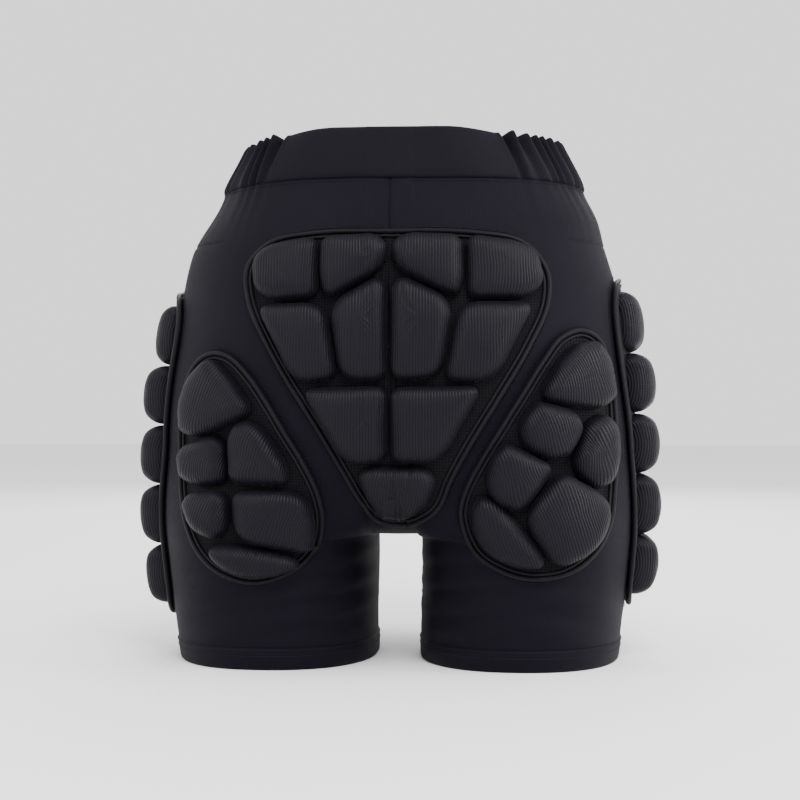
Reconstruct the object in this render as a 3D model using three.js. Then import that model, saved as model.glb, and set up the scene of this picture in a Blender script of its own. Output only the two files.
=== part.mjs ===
// Padded impact shorts: a knit shell on an elastic waistband, with five moulded foam pads.
// Millimetres. +Z up, -Y the wearer's rear, +Y the front, +X the wearer's right.
import * as THREE from 'three';

// ---------------------------------------------------------------- driving dimensions
// Cross sections of the shell: height, half width at the side seam, depth behind and in front.
const HEM = { z: 0, half: 166, back: 96, front: 94 };
const THIGH = { z: 95, half: 177, back: 112, front: 102 };
const HIP = { z: 186, half: 176, back: 124, front: 107 };
const HIGH_HIP = { z: 280, half: 164, back: 116, front: 105 };
const WAIST_SEAM = { z: 352, half: 139, back: 102, front: 98 };
const WAIST_TOP = { z: 390, half: 116, back: 92, front: 88 };
const SECTIONS = [HEM, THIGH, HIP, HIGH_HIP, WAIST_SEAM, WAIST_TOP];

const ROUNDNESS = 2.3;         // exponent of the trunk's and the legs' rounded sections
const INSEAM_X = 17;           // from the centre plane to each inseam
const CROTCH_Z = 93;           // lowest point of the gusset
const SEAT_FULL_Z = 163;       // height at which seat and front are at full depth
const CROTCH_CURVE = 3;        // exponent of the gusset's curve under the crotch

const HEM_BAND = 16;           // height of the turned-up hem
const HEM_STATIONS = 28;
const HEM_WALL = 2.6;          // its folded thickness
const CLOTH = 1.6;             // shell thickness
const SEAM_GAP = 0.5;          // clearance between sewn neighbours
const SIDE_SEAM_Q = 0.0012;    // the same clearance as a share of the girth at side seam and inseam
const LEG_TOP_Z = 307;         // top edge of the leg panels
const YOKE_GAP = 5;            // room for that edge to swing under the yoke
const SEAT_MARGIN = 7;         // seat panel outside the tail pad's piping
const PANEL_GAP = 8;           // between the seat panel and a leg panel
const STRIP_CLEARANCE = 1.5;   // gusset strip inside the inseams, and front panels outside it
const SEAT_BOTTOM_Z = 108;     // where the gusset takes over from the seat panel
const TAIL_FOOT = 16;          // height of the rounded foot of the tail pad

const CASING_DEPTH = 6;        // waistband casing, inside to outside
const CASING_WALL = 1.2;
const CASING_INSET = 1;        // how far the casing reaches inside the shell's face
const CASING_SIDE_Q = 0.283;   // where the flat front and back casings give way to the gathers
const ELASTIC = 1.6;           // thickness of the elastic webbing
const ELASTIC_CLEARANCE = 1.8; // below and above it in the casing

const BACKING_LIFT = 2.0;      // clearance from the shell to a pad's backing
const BACKING = 1.2;           // backing thickness
const FOAM_LIFT = 4.8;         // underside of the foam above the shell
const FOAM_HEIGHT = 15;        // crown of a foam cell above its underside
const TIP_FOAM_HEIGHT = 9;     // the thinner cell that folds under the seat
const HIP_FOAM_HEIGHT = 17;
const PIPING_RADIUS = 1.8;
const PIPING_LIFT = 3.8;       // centre line of the piping above the shell
const PIPING_CLEARANCE = 1.6;  // between the piping and the backing's edge

const HIP_ROWS = 5;
const HIP_ROW_PITCH = 45;
const HIP_ROW_GAP = 6;         // channel between two rows of foam
const HIP_PAD_BOTTOM = { right: 52, left: 43 };  // lowest foam row on each side
const HIP_PAD_HALF = { top: 52, bottom: 40 };    // half width of the pad at its piping
const HIP_PAD_MARGIN = 9;      // foam inside the piping at the sides
const HIP_PAD_END = 8;         // piping beyond the first and last row

// Pad outlines at the piping, as [x, z] on the shell.
const TAIL_OUTLINE = [[4, 312], [60, 311], [92, 305], [109, 286], [110, 262], [97, 231], [77, 196],
  [57, 163], [43, 138], [35, 120], [22, 110], [6, 108], [-9, 111], [-20, 124], [-31, 144], [-48, 173],
  [-69, 205], [-85, 233], [-98, 262], [-100, 288], [-84, 305], [-54, 311]];
const RIGHT_THIGH_OUTLINE = [[134, 243], [147, 236], [156, 206], [158, 170], [157, 135], [154, 107],
  [143, 86], [125, 73], [104, 69], [83, 73], [65, 84], [55, 100], [51, 117], [55, 133], [65, 152],
  [79, 175], [93, 198], [107, 221], [119, 237]];
const LEFT_THIGH_OUTLINE = [[-126, 227], [-113, 224], [-99, 211], [-86, 193], [-73, 172],
  [-60, 151], [-51, 131], [-48, 112], [-52, 94], [-63, 79], [-79, 69], [-97, 65], [-116, 70],
  [-132, 82], [-143, 101], [-150, 123], [-153, 150], [-152, 179], [-147, 205], [-138, 221]];

// Foam cells: the corners of each cell's underside, as [x, z] on the shell.
const TAIL_FOAM = {
  top_1: [[-89, 300], [-50, 306], [-50, 266], [-84, 263], [-94, 282]],
  top_2: [[-45, 306], [-2, 308], [-2, 287], [-20, 278], [-39, 266], [-46, 274]],
  top_3: [[4, 308], [49, 307], [51, 270], [42, 267], [22, 279], [4, 287]],
  top_4: [[55, 307], [94, 302], [104, 288], [100, 266], [56, 265]],
  mid_1: [[-88, 258], [-45, 260], [-36, 210], [-63, 206]],
  mid_2: [[-39, 259], [-18, 272], [-2, 280], [-2, 209], [-31, 208]],
  mid_3: [[4, 280], [22, 273], [44, 261], [36, 210], [4, 209]],
  mid_4: [[50, 260], [97, 260], [72, 208], [41, 208]],
  low_1: [[-57, 200], [-2, 202], [-2, 154], [-29, 152]],
  low_2: [[4, 201], [63, 202], [36, 153], [4, 154]],
  tip: [[-22, 147], [33, 147], [28, 127], [20, 119], [-6, 119], [-13, 128]],
};
const RIGHT_THIGH_FOAM = {
  1: [[105, 196], [112, 211], [121, 225], [134, 236], [146, 231], [152, 206], [152, 190], [131, 189]],
  2: [[98, 190], [106, 191], [131, 183], [126, 163], [116, 150], [102, 156], [88, 168]],
  3: [[138, 183], [153, 181], [154, 144], [146, 127], [125, 144], [131, 164]],
  4: [[76, 163], [85, 162], [111, 146], [96, 119], [86, 117], [69, 132], [70, 147]],
  5: [[117, 141], [147, 122], [149, 109], [142, 93], [129, 83], [117, 81], [107, 92], [95, 112]],
  6: [[61, 125], [70, 128], [84, 114], [99, 96], [111, 80], [98, 78], [82, 82], [68, 94], [60, 111]],
};
const LEFT_THIGH_FOAM = {
  1: [[-143, 200], [-135, 215], [-124, 220], [-114, 213], [-95, 186], [-118, 175], [-142, 166],
    [-147, 180]],
  2: [[-147, 158], [-137, 163], [-116, 170], [-115, 135], [-143, 132], [-148, 143]],
  3: [[-109, 176], [-93, 180], [-79, 161], [-67, 140], [-79, 136], [-109, 135]],
  4: [[-143, 125], [-114, 127], [-113, 98], [-130, 98], [-140, 109]],
  5: [[-107, 127], [-63, 131], [-54, 117], [-56, 97], [-63, 88], [-106, 97]],
  6: [[-128, 92], [-96, 90], [-63, 82], [-76, 73], [-95, 70], [-113, 74]],
};

const COLOURS = { shell: 0x221f27, band: 0x25232c, mesh: 0x2f2e38, backing: 0x201f26, piping: 0x1b1a20 };
const FINISH = {
  shell: new THREE.MeshStandardMaterial({ color: COLOURS.shell, roughness: 0.8, metalness: 0 }),
  band: new THREE.MeshStandardMaterial({ color: COLOURS.band, roughness: 0.82, metalness: 0 }),
  mesh: new THREE.MeshStandardMaterial({ color: COLOURS.mesh, roughness: 0.62, metalness: 0 }),
  backing: new THREE.MeshStandardMaterial({ color: COLOURS.backing, roughness: 0.75, metalness: 0 }),
  piping: new THREE.MeshStandardMaterial({ color: COLOURS.piping, roughness: 0.6, metalness: 0 }),
};
const SIDES = { right: 1, left: -1 };

// ---------------------------------------------------------------- the shell's surface
// A smooth curve through the cross sections, for one of their values.
function sectionValue(key, z) {
  const last = SECTIONS.length - 1;
  const level = Math.min(Math.max(z, SECTIONS[0].z), SECTIONS[last].z);
  let i = 0;
  while (i < last - 1 && level >= SECTIONS[i + 1].z) i += 1;
  const slope = (j) => {
    const low = SECTIONS[Math.max(j - 1, 0)];
    const high = SECTIONS[Math.min(j + 1, last)];
    return (high[key] - low[key]) / (high.z - low.z);
  };
  const span = SECTIONS[i + 1].z - SECTIONS[i].z;
  const s = (level - SECTIONS[i].z) / span;
  const s2 = s * s;
  const s3 = s2 * s;
  return (2 * s3 - 3 * s2 + 1) * SECTIONS[i][key] + (s3 - 2 * s2 + s) * span * slope(i)
    + (3 * s2 - 2 * s3) * SECTIONS[i + 1][key] + (s3 - s2) * span * slope(i + 1);
}

const clamp01 = (value) => Math.min(Math.max(value, 0), 1);
const ease = (value) => value * value * (3 - 2 * value);

// Distance of the shell from the side plane at a distance x from the centre plane.
function depthAt(x, z, key) {
  const half = sectionValue('half', z);
  const reach = half - INSEAM_X;
  const out = clamp01((x - INSEAM_X) / reach);
  const fork = clamp01((SEAT_FULL_Z - z) / (SEAT_FULL_Z - CROTCH_Z));
  const atGusset = 1 - (1 - fork ** CROTCH_CURVE) ** (1 / CROTCH_CURVE);
  const away = ease(clamp01(2 * out));
  const legShare = (1 - away) * atGusset + away * ease(fork);
  const trunk = (1 - out ** ROUNDNESS) ** (1 / ROUNDNESS);
  const leg = (1 - Math.abs(2 * out - 1) ** ROUNDNESS) ** (1 / ROUNDNESS);
  return sectionValue(key, z) * ((1 - legShare) * trunk + legShare * leg);
}

// Girth position q on one side: -1 centre back, 0 to 1 inseam round the side to inseam, 2 centre
// front. Below the crotch 0 and 1 meet at the inseam.
function shellPoint(side, q, z) {
  if (q < 0) return new THREE.Vector3(side * INSEAM_X * (1 + q), -depthAt(INSEAM_X, z, 'back'), z);
  if (q > 1) return new THREE.Vector3(side * INSEAM_X * (2 - q), depthAt(INSEAM_X, z, 'front'), z);
  const reach = sectionValue('half', z) - INSEAM_X;
  const x = INSEAM_X + reach * Math.sin(Math.PI * q) ** 2;
  const y = q < 0.5 ? -depthAt(x, z, 'back') : depthAt(x, z, 'front');
  return new THREE.Vector3(side * x, y, z);
}

const STEP_Q = 0.0005;
const STEP_Z = 0.5;

// A point at a given lift above the shell's outer face; round: the section closes at the inseam.
function lifted(side, q, z, lift, round = false) {
  const wrap = (value) => (round ? value - Math.floor(value) : value);
  const along = shellPoint(side, wrap(q + STEP_Q), z).sub(shellPoint(side, wrap(q - STEP_Q), z));
  const up = shellPoint(side, wrap(q), z + STEP_Z).sub(shellPoint(side, wrap(q), z - STEP_Z));
  const normal = along.cross(up).normalize().multiplyScalar(side);
  return shellPoint(side, wrap(q), z).addScaledVector(normal, lift);
}

// Girth position of a point seen from behind at x.
function girthFromX(x, z) {
  const out = Math.abs(x);
  if (out < INSEAM_X) return out / INSEAM_X - 1;
  return Math.asin(Math.sqrt(clamp01((out - INSEAM_X) / (sectionValue('half', z) - INSEAM_X)))) / Math.PI;
}

// Girth position of a point seen from the side at y.
function girthFromY(side, y, z) {
  let low = 0.28;
  let high = 0.72;
  for (let i = 0; i < 30; i += 1) {
    const middle = (low + high) / 2;
    if (shellPoint(side, middle, z).y < y) low = middle;
    else high = middle;
  }
  return (low + high) / 2;
}

// Charts: (u, v, lift) to a point in space, for pads behind and pads at the side.
const backChart = (x, z, lift) => lifted(x < 0 ? -1 : 1, girthFromX(x, z), z, lift);
const sideChart = (side) => (y, z, lift) => lifted(side, girthFromY(side, y, z), z, lift);

// ---------------------------------------------------------------- solids from points
const group = new THREE.Group();

// Adds a closed solid from its corners and triangles, with its faces turned outwards.
function addSolid(name, corners, faces, material) {
  let volume = 0;
  for (const [a, b, c] of faces) {
    volume += corners[a].dot(new THREE.Vector3().crossVectors(corners[b], corners[c]));
  }
  const index = faces.flatMap(([a, b, c]) => (volume < 0 ? [a, c, b] : [a, b, c]));
  const geometry = new THREE.BufferGeometry();
  const positions = corners.flatMap((corner) => [corner.x, corner.y, corner.z]);
  geometry.setAttribute('position', new THREE.Float32BufferAttribute(positions, 3));
  geometry.setIndex(index);
  geometry.computeVertexNormals();
  const mesh = new THREE.Mesh(geometry, material);
  mesh.name = name;
  group.add(mesh);
  return mesh;
}

// A wall between two grids of points; round: its columns close into a ring.
function addWall(name, outer, inner, material, round = false) {
  const rows = outer.length;
  const columns = outer[0].length;
  const corners = [...outer.flat(), ...inner.flat()];
  const at = (layer, row, column) => (layer * rows + row) * columns + (column % columns);
  const faces = [];
  const quad = (a, b, c, d) => faces.push([a, b, c], [a, c, d]);
  const lastColumn = round ? columns : columns - 1;
  for (let i = 0; i < lastColumn; i += 1) {
    for (let j = 0; j < rows - 1; j += 1) {
      quad(at(0, j, i), at(0, j, i + 1), at(0, j + 1, i + 1), at(0, j + 1, i));
      quad(at(1, j, i), at(1, j + 1, i), at(1, j + 1, i + 1), at(1, j, i + 1));
    }
    quad(at(1, 0, i), at(1, 0, i + 1), at(0, 0, i + 1), at(0, 0, i));
    quad(at(0, rows - 1, i), at(0, rows - 1, i + 1), at(1, rows - 1, i + 1), at(1, rows - 1, i));
  }
  for (let j = 0; j < rows - 1 && !round; j += 1) {
    quad(at(0, j, 0), at(0, j + 1, 0), at(1, j + 1, 0), at(1, j, 0));
    quad(at(1, j, lastColumn), at(1, j + 1, lastColumn), at(0, j + 1, lastColumn), at(0, j, lastColumn));
  }
  return addSolid(name, corners, faces, material);
}

// Rings of points joined into a tube whose last ring meets its first.
function addClosedTube(name, rings, material) {
  const sides = rings[0].length;
  const faces = [];
  rings.forEach((ring, i) => {
    const next = (i + 1) % rings.length;
    for (let j = 0; j < sides; j += 1) {
      const a = i * sides + j;
      const b = i * sides + ((j + 1) % sides);
      const c = next * sides + ((j + 1) % sides);
      const d = next * sides + j;
      faces.push([a, b, c], [a, c, d]);
    }
  });
  return addSolid(name, rings.flat(), faces, material);
}

// A dome or plate: rings of points from the rim of its underside up to a crown point.
function addDome(name, rings, base, crown, material) {
  const count = rings[0].length;
  const corners = [...rings.flat(), base, crown];
  const baseIndex = rings.length * count;
  const faces = [];
  for (let i = 0; i < count; i += 1) {
    const next = (i + 1) % count;
    for (let j = 0; j < rings.length - 1; j += 1) {
      const a = j * count + i;
      const b = j * count + next;
      faces.push([a, b, b + count], [a, b + count, a + count]);
    }
    const top = (rings.length - 1) * count;
    faces.push([baseIndex, next, i], [top + i, top + next, baseIndex + 1]);
  }
  return addSolid(name, corners, faces, material);
}

// ---------------------------------------------------------------- outlines
// Points spaced evenly along a closed smooth curve through an outline's corners.
function smoothOutline(outline, count) {
  const curve = new THREE.CatmullRomCurve3(outline.map(([u, v]) => new THREE.Vector3(u, v, 0)), true);
  return curve.getSpacedPoints(count).slice(0, count).map((point) => [point.x, point.y]);
}

// A polygon with its corners cut back, each by two points.
function roundedPolygon(corners, cut) {
  return corners.flatMap((corner, i) => {
    const before = corners[(i + corners.length - 1) % corners.length];
    const after = corners[(i + 1) % corners.length];
    return [before, after].map((other) => {
      const length = Math.hypot(other[0] - corner[0], other[1] - corner[1]);
      const share = Math.min(cut / length, 0.4);
      return [corner[0] + (other[0] - corner[0]) * share, corner[1] + (other[1] - corner[1]) * share];
    });
  });
}

const centroid = (points) => [0, 1].map((k) => points.reduce((sum, p) => sum + p[k], 0) / points.length);
const toward = (point, centre, share) => point.map((value, k) => value + (centre[k] - value) * share);

// The outline moved inwards by a distance, square to its edge.
function insetOutline(points, distance) {
  const count = points.length;
  const area = points.reduce((sum, [u, v], i) => {
    const [nextU, nextV] = points[(i + 1) % count];
    return sum + u * nextV - nextU * v;
  }, 0);
  return points.map(([u, v], i) => {
    const before = points[(i + count - 1) % count];
    const next = points[(i + 1) % count];
    const along = [next[0] - before[0], next[1] - before[1]];
    const scale = (Math.sign(area) * distance) / Math.hypot(...along);
    return [u - along[1] * scale, v + along[0] * scale];
  });
}

// ---------------------------------------------------------------- pads
const CELL_CORNER = 7;
const CELL_RINGS = [[0.5, 0], [0, 0], [0.04, 0.45], [0.16, 0.8], [0.42, 0.97]]; // inset, height shares
const PLATE_RINGS = [0, 0.14, 0.32, 0.56];                                   // inset shares of a backing
const PIPING_SIDES = 6;

function addFoamCell(name, corners, height) {
  const rim = roundedPolygon(corners, CELL_CORNER);
  const centre = centroid(rim);
  const ring = ([inset, rise]) => rim.map((point) => {
    const [u, v] = toward(point, centre, inset);
    return backChart(u, v, FOAM_LIFT + rise * height);
  });
  const base = backChart(centre[0], centre[1], FOAM_LIFT);
  const crown = backChart(centre[0], centre[1], FOAM_LIFT + height);
  return addDome(name, CELL_RINGS.map(ring), base, crown, FINISH.mesh);
}

function addBacking(name, outline, chart) {
  const edge = insetOutline(outline, PIPING_RADIUS + PIPING_CLEARANCE);
  const centre = centroid(edge);
  const ring = (share, lift) => edge.map((point) => chart(...toward(point, centre, share), lift));
  const top = BACKING_LIFT + BACKING;
  const rings = [...PLATE_RINGS.slice().reverse().map((share) => ring(share, BACKING_LIFT)),
    ...PLATE_RINGS.map((share) => ring(share, top))];
  return addDome(name, rings, chart(...centre, BACKING_LIFT), chart(...centre, top), FINISH.backing);
}

function addPiping(name, outline, chart) {
  const rings = outline.map((point, i) => {
    const next = outline[(i + 1) % outline.length];
    const before = outline[(i + outline.length - 1) % outline.length];
    const centre = chart(...point, PIPING_LIFT);
    const out = chart(...point, PIPING_LIFT + 1).sub(centre).normalize();
    const along = chart(...next, PIPING_LIFT).sub(chart(...before, PIPING_LIFT));
    const across = new THREE.Vector3().crossVectors(along, out).normalize();
    return Array.from({ length: PIPING_SIDES }, (_, k) => {
      const angle = (2 * Math.PI * k) / PIPING_SIDES;
      return centre.clone().addScaledVector(across, PIPING_RADIUS * Math.cos(angle))
        .addScaledVector(out, PIPING_RADIUS * Math.sin(angle));
    });
  });
  return addClosedTube(name, rings, FINISH.piping);
}

function addBackPad(prefix, corners, cells, count) {
  const outline = smoothOutline(corners, count);
  addBacking(`${prefix}_backing`, outline, backChart);
  addPiping(`${prefix}_piping`, outline, backChart);
  for (const [key, cell] of Object.entries(cells)) {
    const height = key === 'tip' ? TIP_FOAM_HEIGHT : FOAM_HEIGHT;
    addFoamCell(`${prefix}_foam_${key}`, cell, height);
  }
}

// Height of a hip row's foam across its width: two crowns joined by a thin web.
const HIP_CROWNS = [[-1, 0.12], [-0.9, 0.6], [-0.52, 1], [-0.14, 0.6], [0, 0.15], [0.14, 0.6], [0.52, 1],
  [0.9, 0.6], [1, 0.12]];
const HIP_RISES = [[0, 0.12], [0.14, 0.66], [0.5, 1], [0.86, 0.66], [1, 0.12]];

function addHipRow(name, side, bottom, half) {
  const chart = sideChart(side);
  const height = HIP_ROW_PITCH - HIP_ROW_GAP;
  const grid = (liftOf) => HIP_RISES.map(([up, rise]) => HIP_CROWNS.map(([out, crown]) => (
    chart(out * half, bottom + up * height, liftOf(rise * crown)))));
  addWall(name, grid((share) => FOAM_LIFT + share * HIP_FOAM_HEIGHT), grid(() => FOAM_LIFT), FINISH.mesh);
}

function addHipPad(sideName) {
  const side = SIDES[sideName];
  const bottom = HIP_PAD_BOTTOM[sideName];
  const length = HIP_ROWS * HIP_ROW_PITCH - HIP_ROW_GAP;
  const halfAt = (z) => {
    const share = clamp01((z - bottom) / length);
    return HIP_PAD_HALF.bottom + (HIP_PAD_HALF.top - HIP_PAD_HALF.bottom) * share;
  };
  const low = bottom - HIP_PAD_END;
  const high = bottom + length + HIP_PAD_END;
  const corner = 18;
  const corners = [low, low + corner, bottom + length / 2, high - corner, high].flatMap((z, i) => {
    const half = i === 0 || i === 4 ? halfAt(z) - corner : halfAt(z);
    return [[half, z]];
  });
  const mirrored = corners.slice().reverse().map(([y, z]) => [-y, z]);
  const outline = smoothOutline([...corners, ...mirrored], 34);
  addBacking(`${sideName}_hip_pad_backing`, outline, sideChart(side));
  addPiping(`${sideName}_hip_pad_piping`, outline, sideChart(side));
  for (let row = 0; row < HIP_ROWS; row += 1) {
    const z = bottom + row * HIP_ROW_PITCH;
    const half = halfAt(z) - HIP_PAD_MARGIN;
    addHipRow(`${sideName}_hip_pad_foam_row_${row + 1}`, side, z, half);
  }
}

// ---------------------------------------------------------------- shell panels
function spread(low, high, steps) {
  return Array.from({ length: steps + 1 }, (_, i) => low + ((high - low) * i) / steps);
}

// Both faces of a shell panel from its rows of [side, q, z].
function addPanel(name, rows, material, thickness = CLOTH, round = false) {
  const face = (lift) => rows.map((row) => row.map(([side, q, z]) => lifted(side, q, z, lift, round)));
  return addWall(name, face(0), face(-thickness), material, round);
}

// Distance from the centre plane to the tail pad's piping on one side, never less further up.
function tailReach(side, z) {
  const points = smoothOutline(TAIL_OUTLINE, 240);
  const lowest = Math.min(...points.map((point) => point[1]));
  const level = Math.max(z, lowest + TAIL_FOOT);
  return Math.max(...points.filter((point) => point[1] <= level).map(([x]) => side * x));
}

const LEG_ROWS = [HEM_BAND + SEAM_GAP, 44, 70, CROTCH_Z - 4];
const UPPER_ROWS = [SEAT_FULL_Z, 190, 216, 242, 264, 286];
const FORK_ROWS = [CROTCH_Z + 9, CROTCH_Z + 24, CROTCH_Z + 45, ...UPPER_ROWS, LEG_TOP_Z];
const PANEL_COLUMNS = 11;

function addLegPanels(sideName) {
  const side = SIDES[sideName];
  const seam = 0.5 - SIDE_SEAM_Q;
  const backCut = (z) => girthFromX(tailReach(side, z) + SEAT_MARGIN + PANEL_GAP, z);
  const frontCut = (z) => girthFromX(INSEAM_X + STRIP_CLEARANCE, z);
  const rowsOf = (cut) => [...LEG_ROWS.map((z) => [z, SIDE_SEAM_Q]), ...FORK_ROWS.map((z) => [z, cut(z)])]
    .map(([z, start]) => spread(start, seam, PANEL_COLUMNS).map((q) => [side, q, z]));
  const mirrorRow = (row) => row.map(([s, q, z]) => [s, 1 - q, z]);
  addPanel(`${sideName}_leg_back_panel`, rowsOf(backCut), FINISH.shell);
  addPanel(`${sideName}_leg_front_panel`, rowsOf(frontCut).map(mirrorRow), FINISH.shell);
}

// The foot of a leg: a wall whose two faces are level with each other, so that it stands flat.
function addHem(sideName) {
  const side = SIDES[sideName];
  const girth = spread(0, 1, HEM_STATIONS).slice(0, -1);
  const levels = [HEM.z, HEM.z + HEM_BAND];
  const face = (lift) => levels.map((z) => girth.map((q) => lifted(side, q, z, lift, true).setZ(z)));
  addWall(`${sideName}_leg_hem_band`, face(0), face(-HEM_WALL), FINISH.shell, true);
}

function addYokes(sideName) {
  const side = SIDES[sideName];
  const centre = SEAM_GAP / 2 / INSEAM_X;
  const girth = [centre - 1, 0, ...spread(0, 0.5 - SIDE_SEAM_Q, 9).slice(1)];
  const levels = spread(LEG_TOP_Z + YOKE_GAP, WAIST_SEAM.z - SEAM_GAP, 2);
  const back = levels.map((z) => girth.map((q) => [side, q, z]));
  const front = levels.map((z) => girth.map((q) => [side, 1 - q, z]));
  addPanel(`${sideName}_back_yoke`, back, FINISH.shell);
  addPanel(`${sideName}_front_yoke`, front, FINISH.shell);
}

function addSeatPanel() {
  const top = LEG_TOP_Z + YOKE_GAP - SEAM_GAP * 2;
  const levels = [SEAT_BOTTOM_Z, 112, 118, 127, 140, ...UPPER_ROWS, top];
  const rows = levels.map((z) => {
    const left = -tailReach(-1, z) - SEAT_MARGIN;
    const right = tailReach(1, z) + SEAT_MARGIN;
    return spread(left, right, 10).map((x) => [x < 0 ? -1 : 1, girthFromX(x, z), z]);
  });
  addPanel('seat_panel', rows, FINISH.shell);
}

// The strip under the crotch and up the centre front, between the inseams.
function addGusset() {
  const half = INSEAM_X - STRIP_CLEARANCE;
  const drop = SEAT_FULL_Z - CROTCH_Z;
  const path = [];
  const start = Math.asin(((SEAT_FULL_Z - SEAT_BOTTOM_Z + SEAM_GAP * 3) / drop) ** (CROTCH_CURVE / 2));
  const curved = (angle, key, sign) => {
    const z = SEAT_FULL_Z - drop * Math.sin(angle) ** (2 / CROTCH_CURVE);
    path.push([sign * sectionValue(key, z) * Math.cos(angle) ** (2 / CROTCH_CURVE), z]);
  };
  for (const angle of spread(start, Math.PI / 2, 5).slice(0, -1)) curved(angle, 'back', -1);
  path.push([0, CROTCH_Z]);
  for (const angle of spread(Math.PI / 2, 0, 8).slice(1)) curved(angle, 'front', 1);
  for (const z of [190, 225, 265, LEG_TOP_Z]) path.push([sectionValue('front', z), z]);
  const face = (lift) => path.map(([y, z], i) => {
    const [y0, z0] = path[Math.max(i - 1, 0)];
    const [y1, z1] = path[Math.min(i + 1, path.length - 1)];
    const length = Math.hypot(y1 - y0, z1 - z0);
    const out = [((z1 - z0) / length) * lift, ((y1 - y0) / length) * lift];
    const point = (x) => new THREE.Vector3(x, y + out[0], z - out[1]);
    return [-half, 0, half].map(point);
  });
  addWall('gusset_strip', face(0), face(-CLOTH), FINISH.shell);
}

// ---------------------------------------------------------------- waistband
// A length of folded casing, open at both ends, along stations of [side, q].
function addCasing(name, stations, material) {
  const low = WAIST_SEAM.z + SEAM_GAP;
  const high = WAIST_TOP.z;
  const inside = -CASING_INSET;
  const outside = CASING_DEPTH - CASING_INSET;
  const loop = (inset) => [[inside + inset, low + inset], [outside - inset, low + inset],
    [outside - inset, high - inset], [inside + inset, high - inset]];
  const ring = (side, q, inset) => loop(inset).map(([lift, z]) => lifted(side, q, z, lift));
  const rings = (inset) => stations.map(([side, q]) => ring(side, q, inset));
  addWall(name, rings(0), rings(CASING_WALL), material, true);
}

function addWaistband() {
  const gap = SIDE_SEAM_Q;
  const flat = [0.05, 0.1, 0.15, 0.2, 0.245, CASING_SIDE_Q - gap];
  const across = [...flat.slice().reverse().map((q) => [-1, q]), [-1, 0], [1, 0], ...flat.map((q) => [1, q])];
  addCasing('waistband_back_casing', across, FINISH.band);
  addCasing('waistband_front_casing', across.map(([side, q]) => [side, 1 - q]), FINISH.band);
  const round = spread(CASING_SIDE_Q + gap, 1 - CASING_SIDE_Q - gap, 10);
  for (const [sideName, side] of Object.entries(SIDES)) {
    addCasing(`waistband_${sideName}_gathered_casing`, round.map((q) => [side, q]), FINISH.band);
  }
}

function addElastic() {
  const middle = CASING_DEPTH / 2 - CASING_INSET;
  const levels = [WAIST_SEAM.z + SEAM_GAP + CASING_WALL + ELASTIC_CLEARANCE,
    WAIST_TOP.z - CASING_WALL - ELASTIC_CLEARANCE];
  const flat = [0, 0.05, 0.1, 0.15, 0.2, 0.245, CASING_SIDE_Q];
  const half = [...flat, ...spread(CASING_SIDE_Q, 1 - CASING_SIDE_Q, 10).slice(1)];
  const front = [0.245, 0.2, 0.15, 0.1, 0.05, 0].map((q) => 1 - q);
  const girth = [...half, ...front];
  const loop = [...girth.map((q) => [1, q]), ...girth.slice().reverse().map((q) => [-1, q])];
  const face = (lift) => levels.map((z) => loop.map(([side, q]) => lifted(side, q, z, lift)));
  addWall('waist_elastic', face(middle + ELASTIC / 2), face(middle - ELASTIC / 2), FINISH.band, true);
}

// ---------------------------------------------------------------- assembly
addWaistband();
addElastic();
addSeatPanel();
addGusset();
for (const sideName of Object.keys(SIDES)) {
  addYokes(sideName);
  addLegPanels(sideName);
  addHem(sideName);
  addHipPad(sideName);
}
addBackPad('tail_pad', TAIL_OUTLINE, TAIL_FOAM, 50);
addBackPad('right_thigh_pad', RIGHT_THIGH_OUTLINE, RIGHT_THIGH_FOAM, 36);
addBackPad('left_thigh_pad', LEFT_THIGH_OUTLINE, LEFT_THIGH_FOAM, 36);

// The origin is under the middle of the whole object, at the height of its hems.
group.updateMatrixWorld(true);
const extent = new THREE.Box3().setFromObject(group);
const middle = extent.getCenter(new THREE.Vector3());
group.position.set(-middle.x, -middle.y, -extent.min.z);
group.updateMatrixWorld(true);

export default group;
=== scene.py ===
"""Looks of a pair of padded impact shorts: knit shell, gathered waistband, five foam pads.

Metres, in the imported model's frame: +Z up, -Y the wearer's rear, +X the wearer's right.
"""

import logging
import math
from dataclasses import dataclass, field, replace
from enum import Enum
from functools import cached_property
from typing import Callable, Sequence

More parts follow.
